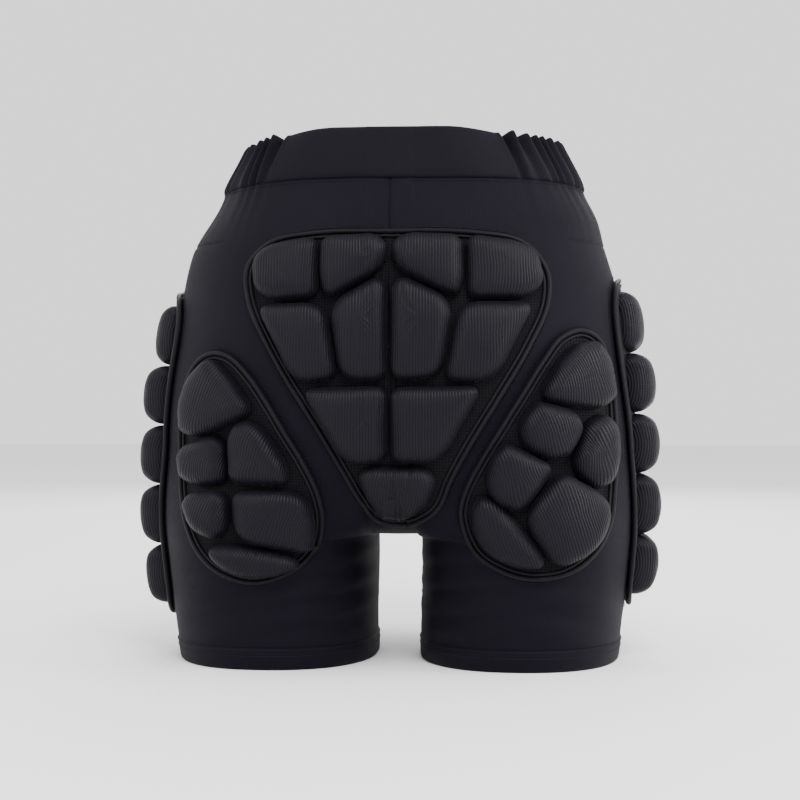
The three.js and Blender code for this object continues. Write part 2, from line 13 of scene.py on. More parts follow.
import bmesh
import bpy
import numpy as np
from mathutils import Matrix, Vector


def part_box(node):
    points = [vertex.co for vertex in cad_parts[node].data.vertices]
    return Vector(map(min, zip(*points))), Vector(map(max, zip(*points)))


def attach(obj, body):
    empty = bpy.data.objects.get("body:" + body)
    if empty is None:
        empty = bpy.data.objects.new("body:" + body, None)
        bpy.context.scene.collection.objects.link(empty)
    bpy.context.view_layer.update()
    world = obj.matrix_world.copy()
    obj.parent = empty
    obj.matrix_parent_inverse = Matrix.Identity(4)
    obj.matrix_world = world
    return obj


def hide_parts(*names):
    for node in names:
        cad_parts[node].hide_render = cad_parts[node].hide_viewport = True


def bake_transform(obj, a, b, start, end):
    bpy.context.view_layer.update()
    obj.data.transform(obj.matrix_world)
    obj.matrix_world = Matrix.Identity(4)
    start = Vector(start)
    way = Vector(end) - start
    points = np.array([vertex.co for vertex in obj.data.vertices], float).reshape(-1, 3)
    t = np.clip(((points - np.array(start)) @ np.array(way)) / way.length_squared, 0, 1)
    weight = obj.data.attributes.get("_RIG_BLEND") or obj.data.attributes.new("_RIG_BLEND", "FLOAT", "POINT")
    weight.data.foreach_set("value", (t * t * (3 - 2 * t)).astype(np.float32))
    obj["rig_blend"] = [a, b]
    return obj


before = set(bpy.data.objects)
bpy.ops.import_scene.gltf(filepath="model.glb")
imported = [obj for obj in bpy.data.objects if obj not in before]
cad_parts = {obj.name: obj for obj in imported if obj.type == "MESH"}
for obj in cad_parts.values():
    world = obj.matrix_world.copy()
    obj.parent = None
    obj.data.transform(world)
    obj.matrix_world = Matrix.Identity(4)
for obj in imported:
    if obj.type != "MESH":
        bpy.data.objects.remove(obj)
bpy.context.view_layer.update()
LOG = logging.getLogger("impact_shorts")
Chart = Callable[[np.ndarray, np.ndarray, np.ndarray], np.ndarray]


# ------------------------------------------------------------------ the shell's form
@dataclass(frozen=True)
class Section:
    """One level cross section of the shell: height, half width, depth behind and in front."""

    z: float
    half: float
    back: float
    front: float


SECTIONS = (
    Section(0.0, 0.166, 0.096, 0.094),
    Section(0.095, 0.177, 0.112, 0.102),
    Section(0.186, 0.176, 0.124, 0.107),
    Section(0.280, 0.164, 0.116, 0.105),
    Section(0.352, 0.139, 0.102, 0.098),
    Section(0.390, 0.116, 0.092, 0.088),
)


class Side(Enum):
    """The wearer's right and left, by the sign of X."""

    RIGHT = 1
    LEFT = -1

    @property
    def word(self) -> str:
        """The side's name as the nodes spell it."""
        return self.name.lower()


def ease(value: np.ndarray) -> np.ndarray:
    """Smooth step of values from 0 to 1."""
    value = np.clip(value, 0.0, 1.0)
    return value * value * (3.0 - 2.0 * value)


@dataclass(frozen=True)
class Ripple:
    """Soft ridges in the worn cloth: a sine over girth position and height, in one patch or all over."""

    depth: float
    per_height: float
    per_girth: float
    lean: float = 0.0
    phase: float = 0.0
    girth: float = 0.0
    height: float = 0.0
    girth_spread: float = math.inf
    height_spread: float = math.inf

    def lift(self, side: np.ndarray, q: np.ndarray, z: np.ndarray) -> np.ndarray:
        """The ridges' lift at girth positions and heights.

        Args:
            side: side sign of each point.
            q: girth position of each point.
            z: height of each point.

        Returns:
            The lift at each point.
        """
        patch = np.exp(-(((q - self.girth) / self.girth_spread) ** 2)
                       - ((z - self.height) / self.height_spread) ** 2)
        turn = self.per_height * z + (self.per_girth + self.lean * side) * q + self.phase * side
        return self.depth * patch * np.sin(turn)


BROAD_RIPPLES = (
    Ripple(0.00050, 41.0, 19.0, phase=1.0),
    Ripple(0.00035, -63.0, 9.0, phase=2.0),
)
LEG_RIPPLES = (
    Ripple(0.0019, 330.0, 0.0, -16.0, 1.3, girth=0.13, height=0.055, girth_spread=0.10, height_spread=0.030),
    Ripple(0.0015, 260.0, 22.0, girth=0.33, height=0.045, girth_spread=0.07, height_spread=0.022),
)


@dataclass(frozen=True)
class BodyForm:
    """The shell's outer face as a formula, the same one as the CAD panels follow."""

    roundness: float = 2.3
    inseam: float = 0.017
    crotch: float = 0.093
    seat_full: float = 0.163
    fork_power: float = 3.0
    waist_seam: float = 0.352
    waist_top: float = 0.390
    side_seam: float = 0.309
    gather_from: float = 0.283
    gather_pitch: float = 0.0130
    bridge: float = 0.008
    still_foot: float = 0.05
    left_draw: float = 0.0066
    draw_from: float = 0.300
    draw_rise: float = 0.045
    right_swell: float = 0.0030
    swell_height: float = 0.328
    swell_spread: float = 0.016
    pucker_depth: float = 0.0022
    pucker_fade: float = 0.016
    step_q: float = 0.0005
    step_z: float = 0.0005

    @cached_property
    def shift(self) -> np.ndarray:
        """Where the form's own centre plane and side plane lie in the frame.

        Returns:
            A point of the frame.
        """
        low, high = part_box("right_leg_hem_band")
        strip_low, strip_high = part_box("gusset_strip")
        centre_y = (low.y + high.y) / 2 + (SECTIONS[0].back - SECTIONS[0].front) / 2
        return np.array([(strip_low.x + strip_high.x) / 2, centre_y, 0.0])

    def value(self, key: str, z: np.ndarray) -> np.ndarray:
        """A section value at each height, on a smooth curve through the sections.

        Args:
            key: half, back or front.
            z: heights.

        Returns:
            The value at each height.
        """
        levels = np.array([s.z for s in SECTIONS])
        values = np.array([getattr(s, key) for s in SECTIONS])
        slopes = np.empty_like(values)
        slopes[1:-1] = (values[2:] - values[:-2]) / (levels[2:] - levels[:-2])
        slopes[0] = (values[1] - values[0]) / (levels[1] - levels[0])
        slopes[-1] = (values[-1] - values[-2]) / (levels[-1] - levels[-2])
        z = np.clip(z, levels[0], levels[-1])
        i = np.clip(np.searchsorted(levels, z, side="right") - 1, 0, len(levels) - 2)
        span = levels[i + 1] - levels[i]
        s = (z - levels[i]) / span
        low = (2 * s**3 - 3 * s**2 + 1) * values[i] + (s**3 - 2 * s**2 + s) * span * slopes[i]
        return low + (3 * s**2 - 2 * s**3) * values[i + 1] + (s**3 - s**2) * span * slopes[i + 1]

    def depth(self, x: np.ndarray, z: np.ndarray, key: str) -> np.ndarray:
        """Distance of the shell behind or in front of the side plane at x from the centre plane.

        Args:
            x: distance of each point from the centre plane.
            z: height of each point.
            key: back or front.

        Returns:
            The distance at each point, never negative.
        """
        reach = self.value("half", z) - self.inseam
        out = np.clip((x - self.inseam) / reach, 0.0, 1.0)
        fork = np.clip((self.seat_full - z) / (self.seat_full - self.crotch), 0.0, 1.0)
        at_gusset = 1 - (1 - fork**self.fork_power) ** (1 / self.fork_power)
        away = ease(2 * out)
        leg_share = (1 - away) * at_gusset + away * ease(fork)
        trunk = (1 - out**self.roundness) ** (1 / self.roundness)
        leg = np.clip(1 - np.abs(2 * out - 1) ** self.roundness, 0, 1) ** (1 / self.roundness)
        return self.value(key, z) * ((1 - leg_share) * trunk + leg_share * leg)

    def point(self, side: np.ndarray, q: np.ndarray, z: np.ndarray) -> np.ndarray:
        """Points on the shell by girth position.

        Args:
            side: 1 or -1 for each point.
            q: -1 centre back, 0 to 1 from inseam round the side to inseam, 2 centre front.
            z: heights.

        Returns:
            Points in the form's own frame, one row each.
        """
        side, q, z = np.broadcast_arrays(side, q, z)
        reach = self.value("half", z) - self.inseam
        mid = np.clip(q, 0.0, 1.0)
        x = self.inseam + reach * np.sin(np.pi * mid) ** 2
        x = np.where(q < 0, self.inseam * (1 + q), np.where(q > 1, self.inseam * (2 - q), x))
        at = np.maximum(x, self.inseam)
        y = np.where(q < 0.5, -self.depth(at, z, "back"), self.depth(at, z, "front"))
        return np.stack([side * x, y, z * np.ones_like(x)], axis=-1)

    def normal(self, side: np.ndarray, q: np.ndarray, z: np.ndarray, closed: bool = False) -> np.ndarray:
        """Outward unit normals; closed: the section closes at the inseam, as on a leg.

        Args:
            side: side sign of each point.
            q: girth position of each point.
            z: height of each point.
            closed: whether the section closes at the inseam, as on a leg.

        Returns:
            One normal per point.
        """
        def wrap(value: np.ndarray) -> np.ndarray:
            """The position brought back to one turn round the leg."""
            return value - np.floor(value) if closed else value
        along = self.point(side, wrap(q + self.step_q), z) - self.point(side, wrap(q - self.step_q), z)
        up = self.point(side, wrap(q), z + self.step_z) - self.point(side, wrap(q), z - self.step_z)
        cross = np.cross(along, up) * np.asarray(side)[..., None]
        return cross / np.maximum(np.linalg.norm(cross, axis=-1, keepdims=True), 1e-12)

    @cached_property
    def waist_run(self) -> tuple[np.ndarray, np.ndarray]:
        """Girth positions and the length of waist seam up to each.

        Returns:
            Two rows: positions and lengths.
        """
        q = np.linspace(0, 1, 601)
        path = self.point(np.ones_like(q), q, np.full(q.shape, self.waist_seam))
        steps = np.linalg.norm(np.diff(path, axis=0), axis=1)
        return q, np.concatenate([[0.0], np.cumsum(steps)])

    def gather(self, side: np.ndarray, q: np.ndarray, z: np.ndarray) -> np.ndarray:
        """Gathered folds at the sides of the waist, 0 in a crease and 1 on a crown.

        Args:
            side: side sign of each point.
            q: girth position of each point.
            z: height of each point.

        Returns:
            The height of the folds at each point.
        """
        run = np.interp(q, *self.waist_run)
        sway = 0.17 * np.sin(150 * run + 1.7 * side) + 0.20 * np.sin(67 * run - side)
        lean = (z - self.waist_seam) * (3.0 * np.sin(60 * run + side) + 1.5)
        phase = run / self.gather_pitch + sway + lean
        deep = 0.70 + 0.30 * np.sin(1.3 * phase + side)
        return 1 - deep * (1 - np.abs(np.sin(np.pi * phase)) ** 1.6)

    def gather_mask(self, q: np.ndarray) -> np.ndarray:
        """1 over the gathered sides, 0 over the flat lengths."""
        inner = np.minimum(q, 1 - q)
        return ease((inner - self.gather_from + 0.012) / 0.03)

    def relief(self, side: np.ndarray, q: np.ndarray, z: np.ndarray) -> np.ndarray:
        """Soft folds of the worn cloth, as a lift in metres.

        Args:
            side: side sign of each point.
            q: girth position of each point.
            z: height of each point.

        Returns:
            The lift of each point.
        """
        soft = sum(ripple.lift(side, q, z) for ripple in BROAD_RIPPLES) * ease(z / self.still_foot)
        soft = soft + sum(ripple.lift(side, q, z) for ripple in LEG_RIPPLES)
        lateral = ease((np.minimum(q, 1 - q) - 0.20) / 0.22)
        drawn = -self.left_draw * ease((z - self.draw_from) / self.draw_rise)
        swollen = self.right_swell * np.exp(-(((z - self.swell_height) / self.swell_spread) ** 2))
        waist = np.where(side < 0, drawn, swollen)
        pucker = np.exp((z - self.waist_seam) / self.pucker_fade) * self.gather_mask(q)
        return soft + waist * lateral + self.pucker_depth * pucker * (self.gather(side, q, z) - 0.6)

    def lifted(self, side: np.ndarray, q: np.ndarray, z: np.ndarray, lift: np.ndarray,
               closed: bool = False) -> np.ndarray:
        """Points at a lift above the cloth, in the frame.

        Args:
            side: side sign of each point.
            q: girth position of each point.
            z: height of each point.
            lift: lift of each point above the cloth.
            closed: whether the section closes at the inseam, as on a leg.

        Returns:
            One point per row.
        """
        total = lift + self.relief(side, q, z)
        spot = q - np.floor(q) if closed else q
        return self.point(side, spot, z) + self.normal(side, q, z, closed) * total[..., None] + self.shift

    def girth_from_x(self, x: np.ndarray, z: np.ndarray) -> np.ndarray:
        """Girth position of points seen from behind.

        Args:
            x: distance of each point from the centre plane.
            z: height of each point.

        Returns:
            The girth positions.
        """
        out = np.abs(x)
        share = np.clip((out - self.inseam) / (self.value("half", z) - self.inseam), 0, 1)
        return np.where(out < self.inseam, out / self.inseam - 1, np.arcsin(np.sqrt(share)) / np.pi)

    def girth_from_y(self, y: np.ndarray, z: np.ndarray) -> np.ndarray:
        """Girth position of points seen from the side.

        Args:
            y: distance of each point from the side plane.
            z: height of each point.

        Returns:
            The girth positions.
        """
        low, high = np.full(np.shape(y), 0.28), np.full(np.shape(y), 0.72)
        for _ in range(26):
            middle = (low + high) / 2
            ahead = self.point(np.ones_like(middle), middle, z)[..., 1] < y
            low, high = np.where(ahead, middle, low), np.where(ahead, high, middle)
        return (low + high) / 2

    def behind(self, u: np.ndarray, v: np.ndarray) -> np.ndarray:
        """Points of the shell seen from behind, by their x and z."""
        return self.point(np.where(u < 0, -1.0, 1.0), self.girth_from_x(u, v), v)

    def back_chart(self, u: np.ndarray, v: np.ndarray, lift: np.ndarray) -> np.ndarray:
        """Points over the rear by their x and z, on a face that bridges the cleft at the inseams.

        Args:
            u: x of each point.
            v: z of each point.
            lift: its lift.

        Returns:
            One point per row, in the frame.
        """
        wide, tall = self.bridge, self.bridge * 0.7
        right, left = self.behind(u + wide, v), self.behind(u - wide, v)
        cross = np.cross(right - left, self.behind(u, v + tall) - self.behind(u, v - tall))
        cross /= np.maximum(np.linalg.norm(cross, axis=-1, keepdims=True), 1e-12)
        base = self.behind(u, v)
        base[..., 1] = np.minimum(base[..., 1], (right[..., 1] + left[..., 1]) / 2)
        side = np.where(u < 0, -1.0, 1.0)
        total = lift + self.relief(side, self.girth_from_x(u, v), v)
        return base + cross * total[..., None] + self.shift

    def side_chart(self, side: Side) -> Chart:
        """A chart over one hip by y and z.

        Args:
            side: which side.

        Returns:
            The chart.
        """
        def chart(u: np.ndarray, v: np.ndarray, lift: np.ndarray) -> np.ndarray:
            """Points over the hip."""
            return self.lifted(np.full(np.shape(u), float(side.value)), self.girth_from_y(u, v), v, lift)
        return chart


FORM = BodyForm()


# ------------------------------------------------------------------ node groups and finishes
class Net:
    """A short way to lay out nodes in a tree."""

    def __init__(self, tree: bpy.types.NodeTree) -> None:
        """Keeps the tree."""
        self.tree = tree

    def add(self, kind: str, values: dict | None = None, **settings: object) -> bpy.types.Node:
        """A node with its settings, and its inputs linked or set.

        Args:
            kind: the node's type.
            values: input name or index to a socket or a plain value.
            settings: the node's own properties.

        Returns:
            The node.
        """
        node = self.tree.nodes.new(kind)
        for key, value in settings.items():
            setattr(node, key, value)
        for key, value in (values or {}).items():
            if isinstance(value, bpy.types.NodeSocket):
                self.tree.links.new(value, node.inputs[key])
            else:
                node.inputs[key].default_value = value
        return node

    def math(self, operation: str, *values: object) -> bpy.types.NodeSocket:
        """The result of a maths node."""
        node = self.add("ShaderNodeMath", dict(enumerate(values)), operation=operation)
        return node.outputs[0]


def shader_group(name: str, inputs: dict[str, float], outputs: Sequence[str]) -> tuple[Net, dict, dict]:
    """An empty shader group.

    Args:
        name: its name.
        inputs: number inputs and their defaults.
        outputs: number outputs.

    Returns:
        Its net, its input sockets by name and its output node's inputs by name.
    """
    tree = bpy.data.node_groups.new(name, "ShaderNodeTree")
    vector = tree.interface.new_socket("Vector", in_out="INPUT", socket_type="NodeSocketVector")
    vector.hide_value = True
    for key, default in inputs.items():
        tree.interface.new_socket(key, in_out="INPUT", socket_type="NodeSocketFloat").default_value = default
    for key in outputs:
        tree.interface.new_socket(key, in_out="OUTPUT", socket_type="NodeSocketFloat")
    net = Net(tree)
    start, end = net.add("NodeGroupInput"), net.add("NodeGroupOutput")
    return net, {s.name: s for s in start.outputs}, {s.name: s for s in end.inputs}


def knit_group() -> bpy.types.NodeTree:
    """Fine knit: rows of small loops, with a slow change of tone.

    Returns:
        The group.
    """
    net, given, result = shader_group("fine_knit", {"Pitch": 0.0011, "Drift": 9.0}, ("Height", "Tone"))
    parts = net.add("ShaderNodeSeparateXYZ", {0: given["Vector"]}).outputs
    across = net.math("DIVIDE", parts[0], given["Pitch"])
    along = net.math("DIVIDE", parts[1], given["Pitch"])
    course = net.math("SINE", net.math("MULTIPLY", across, 2 * math.pi))
    slant = net.math("ADD", net.math("MULTIPLY", along, 1.4), net.math("ABSOLUTE", course))
    loop = net.math("SINE", net.math("MULTIPLY", slant, 2 * math.pi))
    height = net.math("MULTIPLY_ADD", loop, 0.35, net.math("MULTIPLY", course, 0.5))
    net.tree.links.new(height, result["Height"])
    noise = net.add("ShaderNodeTexNoise", {"Vector": given["Vector"], "Scale": given["Drift"], "Detail": 3.0})
    net.tree.links.new(noise.outputs[0], result["Tone"])
    return net.tree


def rib_group() -> bpy.types.NodeTree:
    """Ribbed mesh: raised ribs with small cross threads between them, and a Rib output on the crowns that the
    material uses to paint the crowns lighter as a painted highlight and the grooves darker as painted shade.

    Returns:
        The group.
    """
    net, given, result = shader_group("ribbed_mesh", {"Pitch": 0.0022, "Cross": 0.0014}, ("Height", "Rib"))
    wander = net.add("ShaderNodeTexNoise", {"Vector": given["Vector"], "Scale": 60.0, "Detail": 2.0})
    parts = net.add("ShaderNodeSeparateXYZ", {0: given["Vector"]}).outputs
    sway = net.math("MULTIPLY_ADD", wander.outputs[0], 0.0012, parts[0])
    turn = net.math("MULTIPLY", net.math("DIVIDE", sway, given["Pitch"]), 2 * math.pi)
    rib = net.math("MULTIPLY_ADD", net.math("SINE", turn), 0.5, 0.5)
    bead = net.math("SINE", net.math("MULTIPLY", net.math("DIVIDE", parts[1], given["Cross"]), 2 * math.pi))
    crown = net.math("POWER", rib, 0.7)
    height = net.math("MULTIPLY_ADD", net.math("MULTIPLY", bead, net.math("SUBTRACT", 1.0, rib)), 0.22, crown)
    net.tree.links.new(height, result["Height"])
    # The crowns also feed the colour mix: lighter on the crowns as a painted highlight, darker in the grooves
    # as painted shade.
    net.tree.links.new(crown, result["Rib"])
    return net.tree


def perforation_group() -> bpy.types.NodeTree:
    """Perforated mesh: a field of small round dimples, and a Hole output on them that the material uses to
    paint the dimples dark as painted shade in the holes.

    Returns:
        The group.
    """
    net, given, result = shader_group("perforated_mesh", {"Pitch": 0.0021}, ("Height", "Hole"))
    scaled = net.add("ShaderNodeVectorMath", {0: given["Vector"]}, operation="SCALE")
    net.tree.links.new(net.math("DIVIDE", 1.0, given["Pitch"]), scaled.inputs["Scale"])
    cell = net.add("ShaderNodeTexVoronoi", {"Vector": scaled.outputs[0], "Scale": 1.0, "Randomness": 0.12})
    hole = net.add("ShaderNodeMapRange", {"Value": cell.outputs["Distance"], "From Min": 0.18,
                                          "From Max": 0.36})
    net.tree.links.new(hole.outputs[0], result["Height"])
    # The Hole output darkens the dimples in the colour mix: painted shade in the holes.
    net.tree.links.new(net.math("SUBTRACT", 1.0, hole.outputs[0]), result["Hole"])
    return net.tree


class Weave(Enum):
    """Which surface pattern a cloth has."""

    KNIT = "fine_knit"
    RIB = "ribbed_mesh"
    PERFORATED = "perforated_mesh"


@dataclass(frozen=True)
class ClothFinish:
    """A dark cloth: its pattern, colours and gloss."""

    name: str
    weave: Weave
    dark: tuple[float, float, float]
    light: tuple[float, float, float]
    roughness: float
    sheen: float
    bump: float
    pitch: float
    specular: float = 0.3
    slot: str = "shell_cloth"

    def build(self, groups: dict[Weave, bpy.types.NodeTree]) -> bpy.types.Material:
        """The material, on the piece's own UV map.

        Args:
            groups: the pattern groups.

        Returns:
            The material.
        """
        material = bpy.data.materials.new(self.name)
        material.use_nodes = True
        net = Net(material.node_tree)
        shader = material.node_tree.nodes["Principled BSDF"]
        uv = net.add("ShaderNodeUVMap", uv_map="cloth").outputs[0]
        pattern = net.add("ShaderNodeGroup", node_tree=groups[self.weave])
        net.tree.links.new(uv, pattern.inputs["Vector"])
        pattern.inputs["Pitch"].default_value = self.pitch
        # The pattern's second output mixes the dark and light colours: on knit a random change of tone, on
        # ribbed mesh a painted highlight on the rib crowns and painted shade in the grooves, on perforated
        # mesh painted shade in the dimples.
        mask = pattern.outputs[1]
        if self.weave is Weave.PERFORATED:
            mask = net.math("SUBTRACT", 1.0, mask)
        mix = net.add("ShaderNodeMix", data_type="RGBA")
        net.tree.links.new(mask, mix.inputs[0])
        mix.inputs[6].default_value = (*self.dark, 1.0)
        mix.inputs[7].default_value = (*self.light, 1.0)
        net.tree.links.new(mix.outputs[2], shader.inputs["Base Color"])
        rough = net.add("ShaderNodeMapRange", {"Value": mask, "To Min": self.roughness + 0.12,
                                               "To Max": self.roughness - 0.06})
        net.tree.links.new(rough.outputs[0], shader.inputs["Roughness"])
        bump = net.add("ShaderNodeBump", {"Height": pattern.outputs[0], "Strength": self.bump,
                                          "Distance": 0.0006})
        net.tree.links.new(bump.outputs[0], shader.inputs["Normal"])
        shader.inputs["Sheen Weight"].default_value = self.sheen
        shader.inputs["Sheen Roughness"].default_value = 0.45
        shader.inputs["Specular IOR Level"].default_value = self.specular
        return material


SHELL = ClothFinish("shell_knit", Weave.KNIT, (0.0022, 0.0015, 0.0040), (0.0037, 0.0027, 0.0066),
                    0.60, 0.012, 0.35, 0.0011, 0.07)
BAND = ClothFinish("waistband_knit", Weave.KNIT, (0.0023, 0.0018, 0.0040), (0.0037, 0.0030, 0.0063),
                   0.60, 0.012, 0.35, 0.0011, 0.07, "waistband_cloth")
# The ribbed mesh's light colour is a painted highlight on the rib crowns and its dark colour painted shade in
# the grooves.
MESH = ClothFinish("ribbed_pad_mesh", Weave.RIB, (0.0012, 0.0009, 0.0022), (0.0038, 0.0033, 0.0066),
                   0.46, 0.010, 0.50, 0.0021, 0.11, "pad_mesh")
# The backing's colour is the dark mesh's own, set darker still as painted shade in the channels between the
# cells; its dark colour in the dimples is painted shade in the holes.
BACKING_WITH_PAINTED_SHADE = ClothFinish("perforated_backing_mesh", Weave.PERFORATED, (0.0010, 0.0009, 0.0014),
                      (0.0028, 0.0025, 0.0039), 0.60, 0.008, 0.6, 0.0021, 0.06, "pad_backing")
PIPING = ClothFinish("piping_cord_cloth", Weave.KNIT, (0.0024, 0.0020, 0.0035), (0.0041, 0.0036, 0.0060),
                     0.44, 0.012, 0.3, 0.0009, 0.10, "piping")
THREAD = ClothFinish("sewing_thread", Weave.KNIT, (0.0044, 0.0038, 0.0066), (0.0080, 0.0072, 0.0110),
                     0.5, 0.010, 0.2, 0.0006, 0.10, "piping")
# The elastic's light colour is a painted highlight on the rib crowns and its dark colour painted shade in the
# grooves.
ELASTIC = ClothFinish("elastic_webbing", Weave.RIB, (0.004, 0.004, 0.005), (0.010, 0.010, 0.012),
                      0.7, 0.02, 0.5, 0.0015, 0.10, "elastic")
FINISHES = (SHELL, BAND, MESH, BACKING_WITH_PAINTED_SHADE, PIPING, THREAD, ELASTIC)


class Wardrobe:
    """All the materials, built once."""

    def __init__(self) -> None:
        """Builds the groups and one material for each finish."""
        groups = {Weave.KNIT: knit_group(), Weave.RIB: rib_group(), Weave.PERFORATED: perforation_group()}
        self.materials = {finish: finish.build(groups) for finish in FINISHES}

    def __getitem__(self, finish: ClothFinish) -> bpy.types.Material:
        """The material of a finish."""
        return self.materials[finish]


# ------------------------------------------------------------------ making and placing pieces
@dataclass
class Swing:
    """How the pieces of one leg follow the thigh: nothing at the fork line, all of it past it."""

    side: Side
    start_x: float = 0.020
    start_z: float = 0.094
    turn_x: float = 0.797
    turn_z: float = -0.605
    reach: float = 0.070

    def attach(self, piece: bpy.types.Object) -> None:
        """Blends a piece from the pelvis to this side's leg.

        Args:
            piece: the finished piece.
        """
        shift = FORM.shift
        sign = self.side.value
        start = (shift[0] + sign * self.start_x, 0.0, self.start_z)
        end = (start[0] + sign * self.turn_x * self.reach, 0.0, self.start_z + self.turn_z * self.reach)
        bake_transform(piece, "pelvis", f"{self.side.word}_leg", start=start, end=end)


def make_piece(name: str, points: np.ndarray, faces: Sequence[Sequence[int]], uv: np.ndarray,
               material: bpy.types.Material) -> bpy.types.Object:
    """A smooth mesh object at the origin.

    Args:
        name: the piece's name.
        points: one row per vertex, in the frame.
        faces: vertex indices, counter-clockwise from outside.
        uv: one row per vertex, in metres of cloth.
        material: its finish.

    Returns:
        The object.
    """
    mesh = bpy.data.meshes.new(name)
    mesh.from_pydata([tuple(p) for p in points], [], [tuple(f) for f in faces])
    layer = mesh.uv_layers.new(name="cloth")
    loops = np.empty(len(mesh.loops), np.int32)
    mesh.loops.foreach_get("vertex_index", loops)
    layer.data.foreach_set("uv", np.asarray(uv, np.float32)[loops].ravel())
    mesh.materials.append(material)
    mesh.shade_smooth()
    mesh.update()
    obj = bpy.data.objects.new(name, mesh)
    bpy.context.scene.collection.objects.link(obj)
    return obj


def grid_faces(rows: int, columns: int, wrap_rows: bool = False, wrap_columns: bool = False,
               offset: int = 0) -> list[tuple[int, int, int, int]]:
    """Quads of a grid whose vertex (row, column) has index row * columns + column.

    Args:
        rows: how many rows.
        columns: how many columns.
        wrap_rows: whether the last row meets the first.
        wrap_columns: whether the last column meets the first.
        offset: index of the first vertex.

    Returns:
        The quads.
    """
    faces = []
    for j in range(rows if wrap_rows else rows - 1):
        for i in range(columns if wrap_columns else columns - 1):
            a, b = j * columns + i, j * columns + (i + 1) % columns
            c, d = ((j + 1) % rows) * columns + (i + 1) % columns, ((j + 1) % rows) * columns + i
            faces.append((offset + a, offset + b, offset + c, offset + d))
    return faces


def outward(obj: bpy.types.Object) -> bpy.types.Object:
    """Turns a closed piece's faces outwards.

    Args:
        obj: the closed piece.

    Returns:
        The same piece.
    """
    work = bmesh.new()
    work.from_mesh(obj.data)
    bmesh.ops.recalc_face_normals(work, faces=work.faces)
    if work.calc_volume(signed=True) < 0:
        bmesh.ops.reverse_faces(work, faces=work.faces)
    work.to_mesh(obj.data)
    work.free()
    return obj


def finish_piece(obj: bpy.types.Object, nodes: Sequence[str],
                 swing: Swing | None) -> None:
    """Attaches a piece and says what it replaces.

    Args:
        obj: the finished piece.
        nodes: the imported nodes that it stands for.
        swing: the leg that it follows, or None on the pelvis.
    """
    if swing is None:
        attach(obj, "pelvis")
    else:
        swing.attach(obj)
    if nodes:
        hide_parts(*nodes)
    stands_for = ", ".join(nodes) or "nothing"
    LOG.info("%s: %d vertices, stands for %s", obj.name, len(obj.data.vertices), stands_for)


# ------------------------------------------------------------------ stitches
@dataclass
class Stitching:
    """Rows of sewn stitches along routes, made by geometry nodes."""

    pitch: float = 0.0030
    length: float = 0.0022
    width: float = 0.00065

    def tree(self) -> bpy.types.NodeTree:
        """The node tree, with its sizes as named inputs.

        Returns:
            The tree.
        """
        tree = bpy.data.node_groups.new("stitch_row", "GeometryNodeTree")
        tree.interface.new_socket("Geometry", in_out="INPUT", socket_type="NodeSocketGeometry")
        for name in ("Pitch", "Length", "Width"):
            tree.interface.new_socket(name, in_out="INPUT", socket_type="NodeSocketFloat")
        tree.interface.new_socket("Thread", in_out="INPUT", socket_type="NodeSocketMaterial")
        tree.interface.new_socket("Geometry", in_out="OUTPUT", socket_type="NodeSocketGeometry")
        net = Net(tree)
        given = {s.name: s for s in net.add("NodeGroupInput").outputs}
        route = net.add("GeometryNodeMeshToCurve", {0: given["Geometry"]})
        points = net.add("GeometryNodeResampleCurve", {0: route.outputs[0]}, mode="LENGTH")
        tree.links.new(given["Pitch"], points.inputs["Length"])
        bead = net.add("GeometryNodeMeshUVSphere", {"Segments": 6, "Rings": 5, "Radius": 0.5})
        size = net.add("ShaderNodeCombineXYZ", {0: given["Width"], 1: given["Width"], 2: given["Length"]})
        shaped = net.add("GeometryNodeTransform", {0: bead.outputs[0]})
        tree.links.new(size.outputs[0], shaped.inputs["Scale"])
        tangent = net.add("GeometryNodeInputTangent")
        turn = net.add("FunctionNodeAlignRotationToVector", {"Vector": tangent.outputs[0]}, axis="Z")
        placed = net.add("GeometryNodeInstanceOnPoints", {0: points.outputs[0]})
        tree.links.new(shaped.outputs[0], placed.inputs["Instance"])
        tree.links.new(turn.outputs[0], placed.inputs["Rotation"])
        real = net.add("GeometryNodeRealizeInstances", {0: placed.outputs[0]})
        dressed = net.add("GeometryNodeSetMaterial", {0: real.outputs[0]})
        tree.links.new(given["Thread"], dressed.inputs["Material"])
        net.add("NodeGroupOutput", {0: dressed.outputs[0]})
        return tree

    def sew(self, name: str, routes: Sequence[np.ndarray], tree: bpy.types.NodeTree,
            thread: bpy.types.Material) -> bpy.types.Object:
        """A plain mesh of stitches.

        Args:
            name: the piece's name.
            routes: points along each row of stitching.
            tree: the stitch row tree.
            thread: the thread's material.

        Returns:
            The object.
        """
        points = np.concatenate(routes)
        edges, first = [], 0
        for route in routes:
            edges += [(first + i, first + i + 1) for i in range(len(route) - 1)]
            first += len(route)
        mesh = bpy.data.meshes.new(name + "_route")
        mesh.from_pydata([tuple(p) for p in points], edges, [])
        guide = bpy.data.objects.new(name + "_route", mesh)
        bpy.context.scene.collection.objects.link(guide)
        modifier = guide.modifiers.new("stitches", "NODES")
        modifier.node_group = tree
        values = {"Pitch": self.pitch, "Length": self.length, "Width": self.width, "Thread": thread}
        for item in tree.interface.items_tree:
            if item.in_out == "INPUT" and item.name in values:
                modifier[item.identifier] = values[item.name]
        depsgraph = bpy.context.evaluated_depsgraph_get()
        result = bpy.data.meshes.new_from_object(guide.evaluated_get(depsgraph), depsgraph=depsgraph)
        result.name = name
        if "cloth" not in result.uv_layers:
            result.uv_layers.new(name="cloth")
        if not result.materials:
            result.materials.append(thread)
        result.shade_smooth()
        bpy.data.objects.remove(guide)
        obj = bpy.data.objects.new(name, result)
        bpy.context.scene.collection.objects.link(obj)
        return obj


